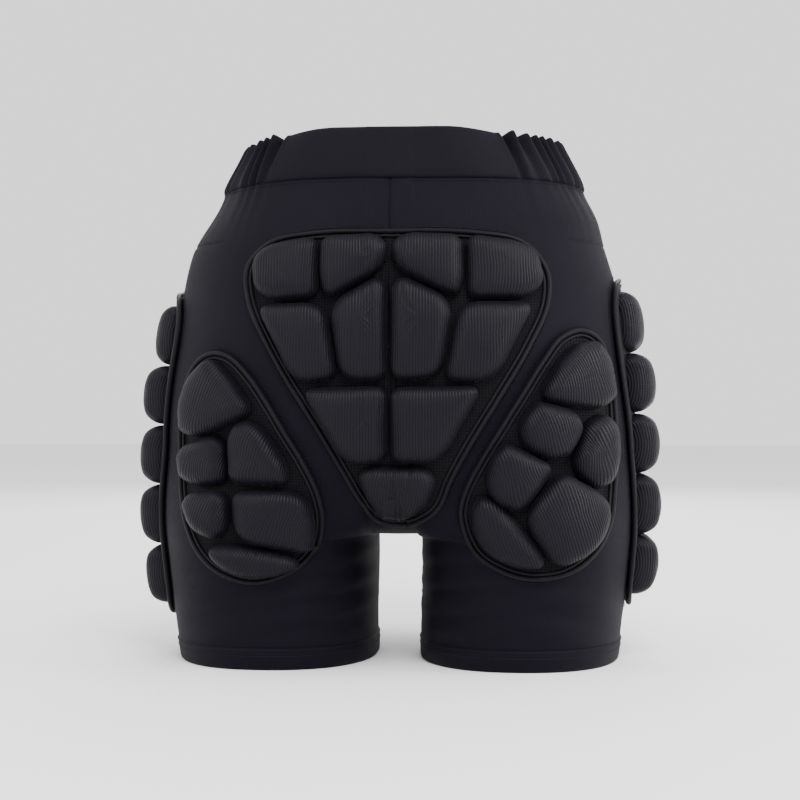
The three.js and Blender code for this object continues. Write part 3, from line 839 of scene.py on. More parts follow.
# ------------------------------------------------------------------ shell
@dataclass
class ShellHalf:
    """The knit cloth of one side, from the waist seam to the hem."""

    side: Side
    columns: int = 144
    leg_rows: int = 26
    fork_rows: int = 26
    upper_rows: int = 46
    foot: float = 0.0145
    thickness: float = 0.0016
    seam_depth: float = 0.0008
    overlap: float = 0.0003

    def levels(self) -> tuple[np.ndarray, int]:
        """Heights of the rows, and the index of the row at the crotch.

        Returns:
            The heights, then the index.
        """
        legs = np.linspace(self.foot, FORM.crotch, self.leg_rows + 1)
        angles = np.linspace(np.pi / 2, 0, self.fork_rows + 1)[1:]
        drop = FORM.seat_full - FORM.crotch
        fork = FORM.seat_full - drop * np.sin(angles) ** (2 / FORM.fork_power)
        upper = np.linspace(FORM.seat_full, FORM.waist_seam + 0.002, self.upper_rows + 1)[1:]
        seam = FORM.side_seam + np.array([-0.0016, -0.0008, 0.0, 0.0008, 0.0016])
        upper = upper[np.abs(upper - FORM.side_seam) > 0.0022]
        return np.concatenate([legs, fork, np.sort(np.concatenate([upper, seam]))]), self.leg_rows

    def build(self, wardrobe: Wardrobe) -> bpy.types.Object:
        """The cloth with its thickness and seams.

        Args:
            wardrobe: the materials.

        Returns:
            The object.
        """
        z, crotch_row = self.levels()
        q = np.linspace(0, 1, self.columns + 1)
        sign = float(self.side.value)
        qq, zz = np.meshgrid(q, z)
        shell = FORM.point(np.full(qq.shape, sign), qq, zz)
        steps = np.linalg.norm(np.diff(shell, axis=1), axis=-1)
        around = np.concatenate([np.zeros((len(z), 1)), np.cumsum(steps, axis=1)], axis=1)
        points, uv = [shell.reshape(-1, 3)], [np.stack([around, zz], -1).reshape(-1, 2)]
        lift = [self.relief_of(qq, zz).ravel()]
        faces = grid_faces(len(z), self.columns + 1)
        path = z[crotch_row:]
        across = np.array([1.0, 0.72, 0.45, 0.24, 0.12, 0.05, 0.0])
        for place, key in ((-1.0, "back"), (1.0, "front")):
            ss, pp = np.meshgrid(across, path)
            y = place * FORM.depth(np.full(pp.shape, FORM.inseam), pp, key)
            strip = np.stack([sign * FORM.inseam * ss, y, pp], -1)
            offset = sum(len(p) for p in points)
            quads = grid_faces(len(path), len(across), offset=offset)
            faces += quads if place > 0 else [f[::-1] for f in quads]
            points.append(strip.reshape(-1, 3))
            uv.append(np.stack([ss * FORM.inseam, pp], -1).reshape(-1, 2))
            edge_q = np.full(pp.shape, 0.0 if place < 0 else 1.0)
            seam = np.where(ss < 0.06, -self.seam_depth, 0.0) * ease((pp - 0.17) / 0.03)
            lift.append((self.relief_of(edge_q, pp) * ease(ss) + seam).ravel())
        if sign < 0:
            faces = [f[::-1] for f in faces]
        everything = np.concatenate(points)
        lifts = np.concatenate(lift)
        name = f"{self.side.word}_shell_cloth"
        merged = make_piece(name, everything + FORM.shift, faces, np.concatenate(uv), wardrobe[SHELL])
        mesh = merged.data
        attribute = mesh.attributes.new("fold_lift", "FLOAT", "POINT")
        attribute.data.foreach_set("value", lifts.astype(np.float32))
        work = bmesh.new()
        work.from_mesh(mesh)
        bmesh.ops.remove_doubles(work, verts=work.verts, dist=1e-5)
        work.normal_update()
        layer = work.verts.layers.float["fold_lift"]
        centre = float(FORM.shift[0])
        middle = [vertex for vertex in work.verts if abs(vertex.co.x - centre) < 1e-5]
        for vertex in work.verts:
            vertex.co += vertex.normal * vertex[layer]
        for vertex in middle:
            vertex.co.x = centre - sign * self.overlap
        work.to_mesh(mesh)
        work.free()
        mesh.shade_smooth()
        wall = merged.modifiers.new("cloth_thickness", "SOLIDIFY")
        wall.thickness = self.thickness
        wall.offset = -1.0
        return merged

    def relief_of(self, q: np.ndarray, z: np.ndarray) -> np.ndarray:
        """Folds of the cloth and the short seam line at the side of the yoke.

        Args:
            q: girth position of each point.
            z: height of each point.

        Returns:
            The lift of each point.
        """
        seam = np.exp(-(((z - FORM.side_seam) / 0.0009) ** 2))
        mask = ease((np.minimum(q, 1 - q) - 0.335) / 0.02)
        return FORM.relief(np.full(q.shape, float(self.side.value)), q, z) - self.seam_depth * seam * mask


@dataclass
class Hem:
    """The turned-up foot of one leg."""

    side: Side
    stations: int = 200
    height: float = 0.016
    wall: float = 0.0026
    uv_girth: float = 0.48
    uv_inside: float = 0.3
    stitch_points: int = 160
    stitch_lift: float = 0.0010
    stitch_drops: tuple[float, float] = (0.0012, 0.0055)

    def profile(self) -> np.ndarray:
        """Lift and height round the folded edge.

        Returns:
            The points in order.
        """
        w, h = self.wall, self.height
        return np.array([(-0.0002, h + 0.0004), (0.0008, h - 0.0010), (0.0009, h * 0.6), (0.0008, 0.003),
                         (0.0004, 0.0012), (-0.0004, 0.0002), (-w / 2, 0.0), (-w + 0.0004, 0.0003),
                         (-w, 0.0014), (-w, 0.004), (-w, h * 0.7), (-w + 0.0003, h)])

    def build(self, wardrobe: Wardrobe) -> bpy.types.Object:
        """The folded band as a closed ring.

        Args:
            wardrobe: the materials.

        Returns:
            The object.
        """
        q = np.arange(self.stations) / self.stations
        profile = self.profile()
        sign = float(self.side.value)
        qq, zz = np.meshgrid(q, profile[:, 1])
        lift = np.broadcast_to(profile[:, :1], qq.shape)
        points = FORM.lifted(np.full(qq.shape, sign), qq, zz, lift, closed=True)
        uv = np.stack([qq * self.uv_girth, zz + self.uv_inside * (lift < -0.001)], -1).reshape(-1, 2)
        faces = grid_faces(len(profile), self.stations, wrap_rows=True, wrap_columns=True)
        name = f"{self.side.word}_leg_hem"
        return outward(make_piece(name, points.reshape(-1, 3), faces, uv, wardrobe[SHELL]))

    def stitch_routes(self) -> list[np.ndarray]:
        """Two rows of coverstitch round the top of the hem.

        Returns:
            Points along each row.
        """
        q = np.linspace(0, 1, self.stitch_points)
        side = np.full(q.shape, float(self.side.value))
        lift = np.full(q.shape, self.stitch_lift)
        heights = [np.full(q.shape, self.height - drop) for drop in self.stitch_drops]
        return [FORM.lifted(side, q, height, lift, closed=True) for height in heights]


# ------------------------------------------------------------------ waistband
class Length(Enum):
    """The four lengths of the waistband casing."""

    BACK = "waistband_back_casing"
    FRONT = "waistband_front_casing"
    RIGHT = "waistband_right_gathered_casing"
    LEFT = "waistband_left_gathered_casing"


@dataclass
class Waistband:
    """The folded casing round the waist, flat behind and in front, gathered at the sides."""

    fold_height: float = 0.0025
    side_drop: float = 0.12
    side_draw: float = 0.0024
    stations: int = 300
    cloth: float = 0.0008
    cut_depth: float = 0.084
    elastic_lift: float = 0.0002
    elastic_margin: float = 0.0045
    elastic_girth: float = 0.700
    elastic_turning: float = 0.002
    seam_points: int = 200
    stitch_drop: float = 0.0022
    stitch_lift: float = 0.0003
    gathered_over: float = 1.25
    flat_over: float = 1.05

    def profile(self) -> np.ndarray:
        """Lift and height along the cloth, from the seam up the outside and down the inside.

        Returns:
            The points in order.
        """
        seam, top = FORM.waist_seam, FORM.waist_top
        return np.array([(-0.0004, seam - 0.0002), (0.0007, seam + 0.0001), (0.0015, seam + 0.0010),
                         (0.0021, seam + 0.0032), (0.0025, seam + 0.008), (0.0027, seam + 0.014),
                         (0.0027, seam + 0.020), (0.0026, seam + 0.026), (0.0023, top - 0.007),
                         (0.0018, top - 0.003), (0.0010, top - 0.0008), (0.0, top),
                         (-0.0009, top - 0.0008), (-0.0014, top - 0.004), (-0.0017, top - 0.015),
                         (-0.0017, seam + 0.012), (-0.0015, seam + 0.004), (-0.0010, seam + 0.0004)])

    def girth(self, length: Length) -> tuple[np.ndarray, np.ndarray]:
        """Side signs and girth positions along one length.

        Args:
            length: which length.

        Returns:
            The side signs, then the girth positions.
        """
        edge = FORM.gather_from
        if length in (Length.BACK, Length.FRONT):
            half = np.concatenate([[0.0], np.linspace(0.02, edge, self.stations // 4)])
            side = np.concatenate([-np.ones(len(half)), np.ones(len(half))])
            q = np.concatenate([half[::-1], half])
            return side, q if length is Length.BACK else 1 - q
        side = 1.0 if length is Length.RIGHT else -1.0
        q = np.linspace(edge, 1 - edge, self.stations)
        return np.full(q.shape, side), q

    def strip(self, name: str, side: np.ndarray, q: np.ndarray, profile: np.ndarray, folds: float,
              material: bpy.types.Material, closed: bool = False) -> bpy.types.Object:
        """A strip of cloth round the waist.

        Args:
            name: the piece's name.
            side: side sign at each station.
            q: girth position at each station.
            profile: lift and height along the cloth's width, outer face first.
            folds: depth of the gathered folds.
            material: its finish.
            closed: whether the last station meets the first.

        Returns:
            The object, with its thickness.
        """
        ss, zz = np.meshgrid(side, profile[:, 1])
        qq = np.broadcast_to(q, zz.shape)
        lift = np.broadcast_to(profile[:, :1], zz.shape).copy()
        rise = (zz - FORM.waist_seam) / (FORM.waist_top - FORM.waist_seam)
        lateral = ease((np.minimum(qq, 1 - qq) - 0.16) / 0.2)
        zz = zz - self.side_drop * lateral * np.maximum(zz - FORM.waist_seam, 0.0)
        depth = folds * (1.0 - 0.82 * ease(rise)) * FORM.gather_mask(qq)
        lift += depth * (FORM.gather(ss, qq, zz) - 0.8) * (lift > -0.0006) - self.side_draw * rise * lateral
        points = FORM.lifted(ss, qq, zz, lift)
        steps = np.linalg.norm(np.diff(points[len(profile) // 3], axis=0), axis=-1)
        around = np.concatenate([[0.0], np.cumsum(steps)])
        along = np.concatenate([[0.0], np.cumsum(np.linalg.norm(np.diff(profile, axis=0), axis=1))])
        uv = np.stack(np.broadcast_arrays(around[None], along[:, None]), -1).reshape(-1, 2)
        faces = grid_faces(len(profile), len(q), wrap_columns=closed)
        outer = points[len(profile) // 3]
        turn = np.cross(outer[1] - outer[0], points[len(profile) // 3 + 1][0] - outer[0])
        if turn @ (outer[0] - FORM.shift) < 0:
            faces = [f[::-1] for f in faces]
        strip = make_piece(name, points.reshape(-1, 3), faces, uv, material)
        wall = strip.modifiers.new("cloth_thickness", "SOLIDIFY")
        wall.thickness = self.cloth
        wall.offset = -1.0
        return strip

    def build(self, length: Length, wardrobe: Wardrobe) -> bpy.types.Object:
        """One length of casing.

        Args:
            length: which length.
            wardrobe: the materials.

        Returns:
            The object.
        """
        side, q = self.girth(length)
        name = length.value.replace("casing", "band")
        return self.strip(name, side, q, self.profile(), self.fold_height, wardrobe[BAND])

    def elastic(self, wardrobe: Wardrobe) -> bpy.types.Object:
        """The band of elastic webbing inside the casing.

        Args:
            wardrobe: the materials.

        Returns:
            The object.
        """
        q = np.linspace(0, 1, 160)
        side = np.concatenate([np.ones(len(q)), -np.ones(len(q))])
        seam, top = FORM.waist_seam + self.elastic_margin, FORM.waist_top - self.elastic_margin
        profile = np.array([(self.elastic_lift, z) for z in np.linspace(seam, top, 5)])
        return self.strip("waist_elastic_webbing", side, np.concatenate([q, q[::-1]]), profile, 0.0,
                          wardrobe[ELASTIC], closed=True)

    def seam_routes(self) -> list[np.ndarray]:
        """One row of stitches just under the top of the seam, all the way round.

        Returns:
            Points along each half.
        """
        q = np.linspace(0.0, 1.0, self.seam_points)
        z = np.full(q.shape, FORM.waist_seam - self.stitch_drop)
        lift = np.full(q.shape, self.stitch_lift)
        return [FORM.lifted(np.full(q.shape, sign), q, z, lift) for sign in (1.0, -1.0)]


# ------------------------------------------------------------------ pads
# Pad outlines at the piping, across and up the shell, in millimetres.
TAIL_OUTLINE = ((4, 312), (60, 311), (92, 305), (109, 286), (110, 262), (97, 231), (77, 196), (57, 163),
                (43, 138), (35, 120), (22, 110), (6, 108), (-9, 111), (-20, 124), (-31, 144), (-48, 173),
                (-69, 205), (-85, 233), (-98, 262), (-100, 288), (-84, 305), (-54, 311))
RIGHT_THIGH_OUTLINE = ((134, 243), (147, 236), (156, 206), (158, 170), (157, 135), (154, 107), (143, 86),
                       (125, 73), (104, 69), (83, 73), (65, 84), (55, 100), (51, 117), (55, 133), (65, 152),
                       (79, 175), (93, 198), (107, 221), (119, 237))
LEFT_THIGH_OUTLINE = ((-126, 227), (-113, 224), (-99, 211), (-86, 193), (-73, 172), (-60, 151), (-51, 131),
                      (-48, 112), (-52, 94), (-63, 79), (-79, 69), (-97, 65), (-116, 70), (-132, 82),
                      (-143, 101), (-150, 123), (-153, 150), (-152, 179), (-147, 205), (-138, 221))
MM = 0.001


@dataclass(frozen=True)
class HipForm:
    """The outline of a hip pad, over the side of the shell."""

    bottom: float
    length: float = 219.0
    top_half: float = 52.0
    bottom_half: float = 40.0
    end: float = 8.0
    corner: float = 18.0

    def corners(self) -> tuple[tuple[float, float], ...]:
        """The outline's corners, in millimetres.

        Returns:
            The corners, counter-clockwise.
        """
        low, high = self.bottom - self.end, self.bottom + self.length + self.end
        levels = (low, low + self.corner, self.bottom + self.length / 2, high - self.corner, high)
        right = []
        for i, z in enumerate(levels):
            share = min(max((z - self.bottom) / self.length, 0.0), 1.0)
            half = self.bottom_half + (self.top_half - self.bottom_half) * share
            right.append((half - self.corner if i in (0, 4) else half, z))
        return tuple(right) + tuple((-y, z) for y, z in reversed(right))


class Outline:
    """Flat shapes on a chart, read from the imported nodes."""

    def __init__(self, chart: Chart, axis: int, corners: Sequence[tuple[float, float]]) -> None:
        """Keeps the chart, which axis its first coordinate follows, and the pad's outline.

        Args:
            chart: the chart.
            axis: the axis of its first coordinate.
            corners: the outline's corners, in millimetres.
        """
        self.chart = chart
        self.axis = axis
        self.corners = np.array(corners) * MM

    def loop(self, count: int) -> np.ndarray:
        """The middle line of the piping, as evenly spaced points."""
        return smooth_loop(self.corners, count)

    def flatten(self, node: str) -> np.ndarray:
        """Chart coordinates and lift of a node's vertices, one row each.

        Args:
            node: the node's name.

        Returns:
            The rows.
        """
        points = np.array([v.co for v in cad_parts[node].data.vertices])
        local = points - FORM.shift
        u, v = local[:, self.axis].copy(), local[:, 2].copy()
        lift = np.full(len(u), 0.005)
        for _ in range(8):
            here = self.chart(u, v, lift)
            out = self.chart(u, v, lift + 0.001) - here
            out /= np.linalg.norm(out, axis=1, keepdims=True)
            error = points - here
            rise = (error * out).sum(1)
            slide = error - rise[:, None] * out
            lift = lift + rise
            u, v = u + slide[:, self.axis], v + slide[:, 2]
        return np.stack([u, v, lift], axis=1)

    def rim(self, node: str) -> np.ndarray:
        """The corners of a foam node as seen square to the shell, in order.

        Args:
            node: the node's name.

        Returns:
            The corners, counter-clockwise.
        """
        base = np.unique(np.round(self.flatten(node)[:, :2], 5), axis=0)
        hull: list[np.ndarray] = []
        for points in (base, base[::-1]):
            start = len(hull)
            for p in points:
                while len(hull) - start >= 2:
                    a, b = hull[-2], hull[-1]
                    turn = (b[0] - a[0]) * (p[1] - b[1]) - (b[1] - a[1]) * (p[0] - b[0])
                    if turn > 1e-9:
                        break
                    hull.pop()
                hull.append(p)
            hull.pop()
        return np.array(hull)


def smooth_loop(corners: np.ndarray, count: int) -> np.ndarray:
    """Evenly spaced points, counter-clockwise, on a closed smooth curve through corners.

    Args:
        corners: the curve's corners, in metres.
        count: how many points.

    Returns:
        The points, one row each.
    """
    before, after = np.roll(corners, 1, axis=0), np.roll(corners, -1, axis=0)
    beyond = np.roll(corners, -2, axis=0)
    first, middle, last = (np.sqrt(np.linalg.norm(b - a, axis=1))[:, None]
                           for a, b in ((before, corners), (corners, after), (after, beyond)))
    ahead = (after - corners) / middle
    leave = (corners - before) / first - (after - before) / (first + middle) + ahead
    arrive = ahead - (beyond - corners) / (middle + last) + (beyond - after) / last
    leave, arrive = leave * middle, arrive * middle
    s = np.linspace(0, 1, 17)[:-1, None, None]
    curve = ((2 * s**3 - 3 * s**2 + 1) * corners + (s**3 - 2 * s**2 + s) * leave
             + (3 * s**2 - 2 * s**3) * after + (s**3 - s**2) * arrive)
    fine = curve.transpose(1, 0, 2).reshape(-1, 2)
    following = np.roll(fine, -1, axis=0)
    if (fine[:, 0] * following[:, 1] - fine[:, 1] * following[:, 0]).sum() < 0:
        fine = fine[::-1]
    closed = np.concatenate([fine, fine[:1]])
    run = np.concatenate([[0], np.cumsum(np.linalg.norm(np.diff(closed, axis=0), axis=1))])
    at = np.linspace(0, run[-1], count + 1)[:-1]
    return np.stack([np.interp(at, run, closed[:, k]) for k in (0, 1)], 1)


def inset(loop: np.ndarray, distance: float) -> np.ndarray:
    """A counter-clockwise outline moved inwards, square to its edge.

    Args:
        loop: the outline, evenly spaced.
        distance: how far inwards.

    Returns:
        The moved outline.
    """
    along = np.roll(loop, -2, axis=0) - np.roll(loop, 2, axis=0)
    along /= np.linalg.norm(along, axis=1, keepdims=True)
    return loop + distance * np.stack([-along[:, 1], along[:, 0]], 1)


def square_up(corners: np.ndarray, short: float, reach: float) -> np.ndarray:
    """Brings back the corners of a convex polygon that short edges cut off.

    Args:
        corners: the polygon, counter-clockwise.
        short: an edge under this length belongs to a cut corner.
        reach: how far a new corner may stand out from the middle of the cut.

    Returns:
        The polygon with its small cuts replaced by their corners.
    """
    count = len(corners)
    edge = np.roll(corners, -1, axis=0) - corners
    long = [i for i in range(count) if np.linalg.norm(edge[i]) >= short]
    if len(long) < 3:
        return corners
    rebuilt = []
    for a, b in zip(long, long[1:] + [long[0] + count]):
        run = [corners[i % count] for i in range(a + 1, b + 1)]
        ahead, behind = edge[a], edge[b % count]
        turn = ahead[0] * behind[1] - ahead[1] * behind[0]
        away = run[-1] - run[0]
        if len(run) > 1 and turn > 0.05 * np.linalg.norm(ahead) * np.linalg.norm(behind):
            corner = run[0] + ahead * (away[0] * behind[1] - away[1] * behind[0]) / turn
            if np.linalg.norm(corner - (run[0] + run[-1]) / 2) <= reach:
                run = [corner]
        rebuilt += run
    return np.array(rebuilt)


def cut_corners(corners: np.ndarray, longest: float) -> np.ndarray:
    """Cuts the corners of a polygon by a quarter of each edge, or by a longest cut.

    Args:
        corners: the polygon.
        longest: the longest cut along an edge.

    Returns:
        The polygon with twice the corners.
    """
    edge = np.roll(corners, -1, axis=0) - corners
    length = np.linalg.norm(edge, axis=1, keepdims=True)
    cut = edge * np.minimum(0.25, longest / np.maximum(length, 1e-9))
    return np.stack([corners + cut, corners + edge - cut], 1).reshape(-1, 2)


def spread(corners: np.ndarray, distance: float) -> np.ndarray:
    """A convex counter-clockwise polygon with its edges moved outwards.

    Args:
        corners: the polygon.
        distance: how far outwards.

    Returns:
        The larger polygon.
    """
    edge = np.roll(corners, -1, axis=0) - corners
    out = np.stack([edge[:, 1], -edge[:, 0]], 1) / np.linalg.norm(edge, axis=1, keepdims=True)
    both = out + np.roll(out, 1, axis=0)
    return corners + distance * 2 * both / (both**2).sum(1, keepdims=True)


# Rings of a puffed cell: how far each lies in from the rim, and its largest share of the way in.
RING_INSETS = np.array([0, 0.0004, 0.0011, 0.0021, 0.0035, 0.0053, 0.0075, 0.010, 0.013, 0.017, 0.022])
RING_SHARES = np.array([0, 0.03, 0.07, 0.13, 0.21, 0.31, 0.43, 0.56, 0.70, 0.83, 0.93])


@dataclass
class Pillow:
    """One puffed foam cell under ribbed mesh."""

    height: float = 0.0142
    shoulder: float = 0.0108
    base: float = 0.0030
    sunk: float = 0.0012
    power: float = 2.7
    crown: float = 0.17
    rays: int = 88
    grow: float = 0.0022
    corner_cut: float = 0.0040
    short_edge: float = 0.0105
    corner_reach: float = 0.0072
    rib_turn: float = 0.0

    def shape(self, corners: np.ndarray, chart: Chart) -> tuple[np.ndarray, list, np.ndarray]:
        """Points, faces and cloth coordinates of the cell.

        Args:
            corners: its rim on the chart, counter-clockwise.
            chart: the chart it lies on.

        Returns:
            Points in the frame, faces and UV rows.
        """
        rim = square_up(corners, self.short_edge, self.corner_reach)
        for cut in (self.corner_cut, self.corner_cut / 3):
            rim = cut_corners(rim, cut)
        rim = spread(rim, self.grow)
        centre = rim.mean(0)
        edge_a, edge_b = rim, np.roll(rim, -1, axis=0)
        angle = np.linspace(0, 2 * np.pi, self.rays + 1)[:-1]
        ray = np.stack([np.cos(angle), np.sin(angle)], 1)
        side = edge_b - edge_a
        to = edge_a - centre
        cross = ray[:, None, 0] * side[None, :, 1] - ray[:, None, 1] * side[None, :, 0]
        divisor = np.where(cross == 0, 1, cross)
        length = (to[None, :, 0] * side[None, :, 1] - to[None, :, 1] * side[None, :, 0]) / divisor
        share = (to[None, :, 0] * ray[:, None, 1] - to[None, :, 1] * ray[:, None, 0]) / divisor
        met = (np.abs(cross) > 1e-12) & (length > 0) & (share > -1e-6) & (share < 1 + 1e-6)
        reach = np.where(met, length, 0).max(1)
        depth = np.minimum(RING_INSETS[:, None], RING_SHARES[:, None] * reach[None])
        flat = centre + (reach[None] - depth)[..., None] * ray[None]
        flat = np.concatenate([flat.reshape(-1, 2), centre[None]])
        distance = self.edge_distance(flat, rim)
        share = np.clip(distance / self.shoulder, 0, 1)
        puff = (1 - (1 - share) ** self.power) ** (1 / self.power)
        rings, rays = len(RING_INSETS), self.rays
        outness = np.concatenate([((reach[None] - depth) / reach[None]).ravel(), [0.0]])
        lift = self.base + self.height * puff * (1 - self.crown * outness**2)
        lift += self.pucker(flat, distance)
        points = chart(flat[:, 0], flat[:, 1], lift)
        under = chart(flat[:rays, 0], flat[:rays, 1], np.full(rays, self.base - self.sunk))
        floor = chart(centre[:1], centre[1:], np.array([self.base - self.sunk]))
        points = np.concatenate([points, under, floor])
        faces = grid_faces(rings, rays, wrap_columns=True)
        top, low = (rings - 1) * rays, rings * rays + 1
        for i in range(rays):
            j = (i + 1) % rays
            faces.append((top + i, top + j, rings * rays))
            faces.append((low + i, low + j, j, i))
            faces.append((low + j, low + i, low + rays))
        ribs = self.draped(flat, points[:len(flat)], centre)
        flat = np.concatenate([ribs, ribs[:rays], centre[None]])
        turn = np.array([[math.cos(self.rib_turn), -math.sin(self.rib_turn)],
                         [math.sin(self.rib_turn), math.cos(self.rib_turn)]])
        return points, faces, (flat - centre) @ turn.T + centre

    def draped(self, flat: np.ndarray, points: np.ndarray, centre: np.ndarray) -> np.ndarray:
        """Cloth coordinates that keep their scale down the sides of the cell.

        Args:
            flat: chart coordinates, ring by ring from the rim inwards, the centre last.
            points: the same points in the frame.
            centre: the cell's centre on the chart.

        Returns:
            Coordinates stretched outwards by the true length from the centre.
        """
        rings = points[:-1].reshape(-1, self.rays, 3)
        steps = np.linalg.norm(np.diff(rings, axis=0), axis=-1)
        inner = np.linalg.norm(rings[-1] - points[-1], axis=-1)
        run = inner[None] + np.concatenate([np.cumsum(steps[::-1], axis=0)[::-1], np.zeros((1, self.rays))])
        away = flat[:-1].reshape(-1, self.rays, 2) - centre
        away *= (run / np.maximum(np.linalg.norm(away, axis=-1), 1e-9))[..., None]
        return np.concatenate([(away + centre).reshape(-1, 2), centre[None]])

    def edge_distance(self, flat: np.ndarray, rim: np.ndarray) -> np.ndarray:
        """Distance of each point to the nearest edge of the rim.

        Args:
            flat: chart coordinates of the points.
            rim: corners of the rim.

        Returns:
            The distances.
        """
        a, b = rim, np.roll(rim, -1, axis=0)
        side = b - a
        share = ((flat[:, None] - a) * side).sum(-1) / (side**2).sum(-1)
        nearest = a + np.clip(share, 0, 1)[..., None] * side
        return np.linalg.norm(flat[:, None] - nearest, axis=-1).min(1)

    def pucker(self, flat: np.ndarray, distance: np.ndarray) -> np.ndarray:
        """Small gathers of the mesh close to the rim."""
        wave = np.sin(flat[:, 0] * 1150 + 2 * np.sin(flat[:, 1] * 240)) * np.sin(flat[:, 1] * 1040)
        return 0.00028 * wave * np.exp(-((distance - 0.0025) / 0.003) ** 2)


@dataclass
class FoamPad:
    """A pad: perforated backing, corded piping and puffed cells."""

    prefix: str
    cells: Sequence[str]
    outline: Outline
    pillow: Pillow
    swing: Swing | None
    stations: int = 240
    backing_top: float = 0.0032
    backing_foot: float = 0.0012
    cord: float = 0.0019
    inner_cord: float = 0.0012
    cord_gap: float = 0.0034
    cord_lift: float = 0.0034
    inner_cord_lift: float = 0.0036
    cord_sides: int = 12
    backing_rings: int = 29
    backing_inset: float = 0.0008
    lobe_gap: float = 0.0030
    lobe_cut: float = 0.006
    turning: float = 0.012
    fill: float = 0.85
    double_row: bool = False
    shell: str = "right"
    thin_row: dict[str, float] = field(default_factory=lambda: {"row_5": 0.74})

    def backing(self, wardrobe: Wardrobe) -> bpy.types.Object:
        """The flat mesh under and between the cells.

        Args:
            wardrobe: the materials.

        Returns:
            The object.
        """
        loop = inset(self.outline.loop(self.stations), self.backing_inset)
        centre = loop.mean(0)
        shares = np.linspace(0, 1, self.backing_rings + 1)[:-1]
        rings = centre + (loop - centre)[None] * (1 - shares)[:, None, None]
        flat = np.concatenate([rings.reshape(-1, 2), centre[None]])
        lift = np.full(len(flat), self.backing_top)
        low = np.full(len(flat), self.backing_foot)
        chart = self.outline.chart
        points = np.concatenate([chart(flat[:, 0], flat[:, 1], lift), chart(flat[:, 0], flat[:, 1], low)])
        count, rows, total = self.stations, len(shares), len(flat)
        faces = grid_faces(rows, count, wrap_columns=True)
        faces += [f[::-1] for f in grid_faces(rows, count, wrap_columns=True, offset=total)]
        last = (rows - 1) * count
        for i in range(count):
            j = (i + 1) % count
            faces.append((last + i, last + j, total - 1))
            faces.append((total + last + j, total + last + i, 2 * total - 1))
            faces.append((total + i, total + j, j, i))
        return outward(make_piece(f"{self.prefix}_backing_mesh", points, faces, np.concatenate([flat, flat]),
                                  wardrobe[BACKING_WITH_PAINTED_SHADE]))

    def piping(self, wardrobe: Wardrobe) -> bpy.types.Object:
        """An outer cord and a finer one just inside it.

        Args:
            wardrobe: the materials.

        Returns:
            The object.
        """
        outer = self.outline.loop(self.stations)
        parts, uvs, faces, first = [], [], [], 0
        cords = ((0.0, self.cord, self.cord_lift), (self.cord_gap, self.inner_cord, self.inner_cord_lift))
        for distance, radius, lift in cords:
            points, uv = self.cord_tube(inset(outer, distance), radius, lift)
            faces += grid_faces(self.stations, self.cord_sides, wrap_rows=True, wrap_columns=True,
                                offset=first)
            parts.append(points)
            uvs.append(uv)
            first += len(points)
        name = f"{self.prefix}_piping_cords"
        return outward(make_piece(name, np.concatenate(parts), faces, np.concatenate(uvs), wardrobe[PIPING]))

    def cord_tube(self, loop: np.ndarray, radius: float, lift: float) -> tuple[np.ndarray, np.ndarray]:
        """Points and cloth coordinates of one cord along an outline.

        Args:
            loop: the outline of its middle line.
            radius: its radius.
            lift: height of its middle line.

        Returns:
            Points and coordinates, row by row.
        """
        chart = self.outline.chart
        here = chart(loop[:, 0], loop[:, 1], np.full(len(loop), lift))
        out = chart(loop[:, 0], loop[:, 1], np.full(len(loop), lift + 0.001)) - here
        out /= np.linalg.norm(out, axis=1, keepdims=True)
        along = np.roll(here, -1, axis=0) - np.roll(here, 1, axis=0)
        across = np.cross(along, out)
        across /= np.linalg.norm(across, axis=1, keepdims=True)
        angle = np.linspace(0, 2 * np.pi, self.cord_sides + 1)[:-1]
        cosine, sine = np.cos(angle)[None, :, None], np.sin(angle)[None, :, None]
        ring = radius * (cosine * across[:, None] + sine * out[:, None])
        run = np.cumsum(np.linalg.norm(along, axis=1) / 2)
        uv = np.stack(np.broadcast_arrays(run[:, None], angle[None] * radius), -1)
        return (here[:, None] + ring).reshape(-1, 3), uv.reshape(-1, 2)

    def cell(self, node: str, wardrobe: Wardrobe) -> bpy.types.Object:
        """One foam cell, or a row of two on a hip.

        Args:
            node: the foam node's name.
            wardrobe: the materials.

        Returns:
            The object, with its sewn vertices in a group.
        """
        rim = self.outline.rim(node)
        rims = [rim]
        if self.double_row:
            rims = [self.half_rim(rim, sign) for sign in (-1, 1)]
        parts, faces, uvs, first = [], [], [], 0
        pillow = replace(self.pillow, height=self.pillow.height * self.thin_row.get(node[-5:], 1.0))
        for outline in rims:
            points, quads, uv = pillow.shape(outline, self.outline.chart)
            faces += [tuple(first + i for i in f) for f in quads]
            parts.append(points)
            uvs.append(uv)
            first += len(points)
        points, uv = np.concatenate(parts), np.concatenate(uvs)
        obj = outward(make_piece(f"{node}_puff", points, faces, uv, wardrobe[MESH]))
        sewn = obj.vertex_groups.new(name="sewn")
        each = len(obj.data.vertices) // len(rims)
        top = each - self.pillow.rays - 1
        for start in range(0, len(obj.data.vertices), each):
            held = list(range(start, start + 2 * self.pillow.rays)) + list(range(start + top, start + each))
            sewn.add(held, 1.0, "REPLACE")
        return obj

    def puffs(self, wardrobe: Wardrobe) -> list[bpy.types.Object]:
        """Every foam cell of the pad, before it swells."""
        return [self.cell(f"{self.prefix}_foam_{cell}", wardrobe) for cell in self.cells]

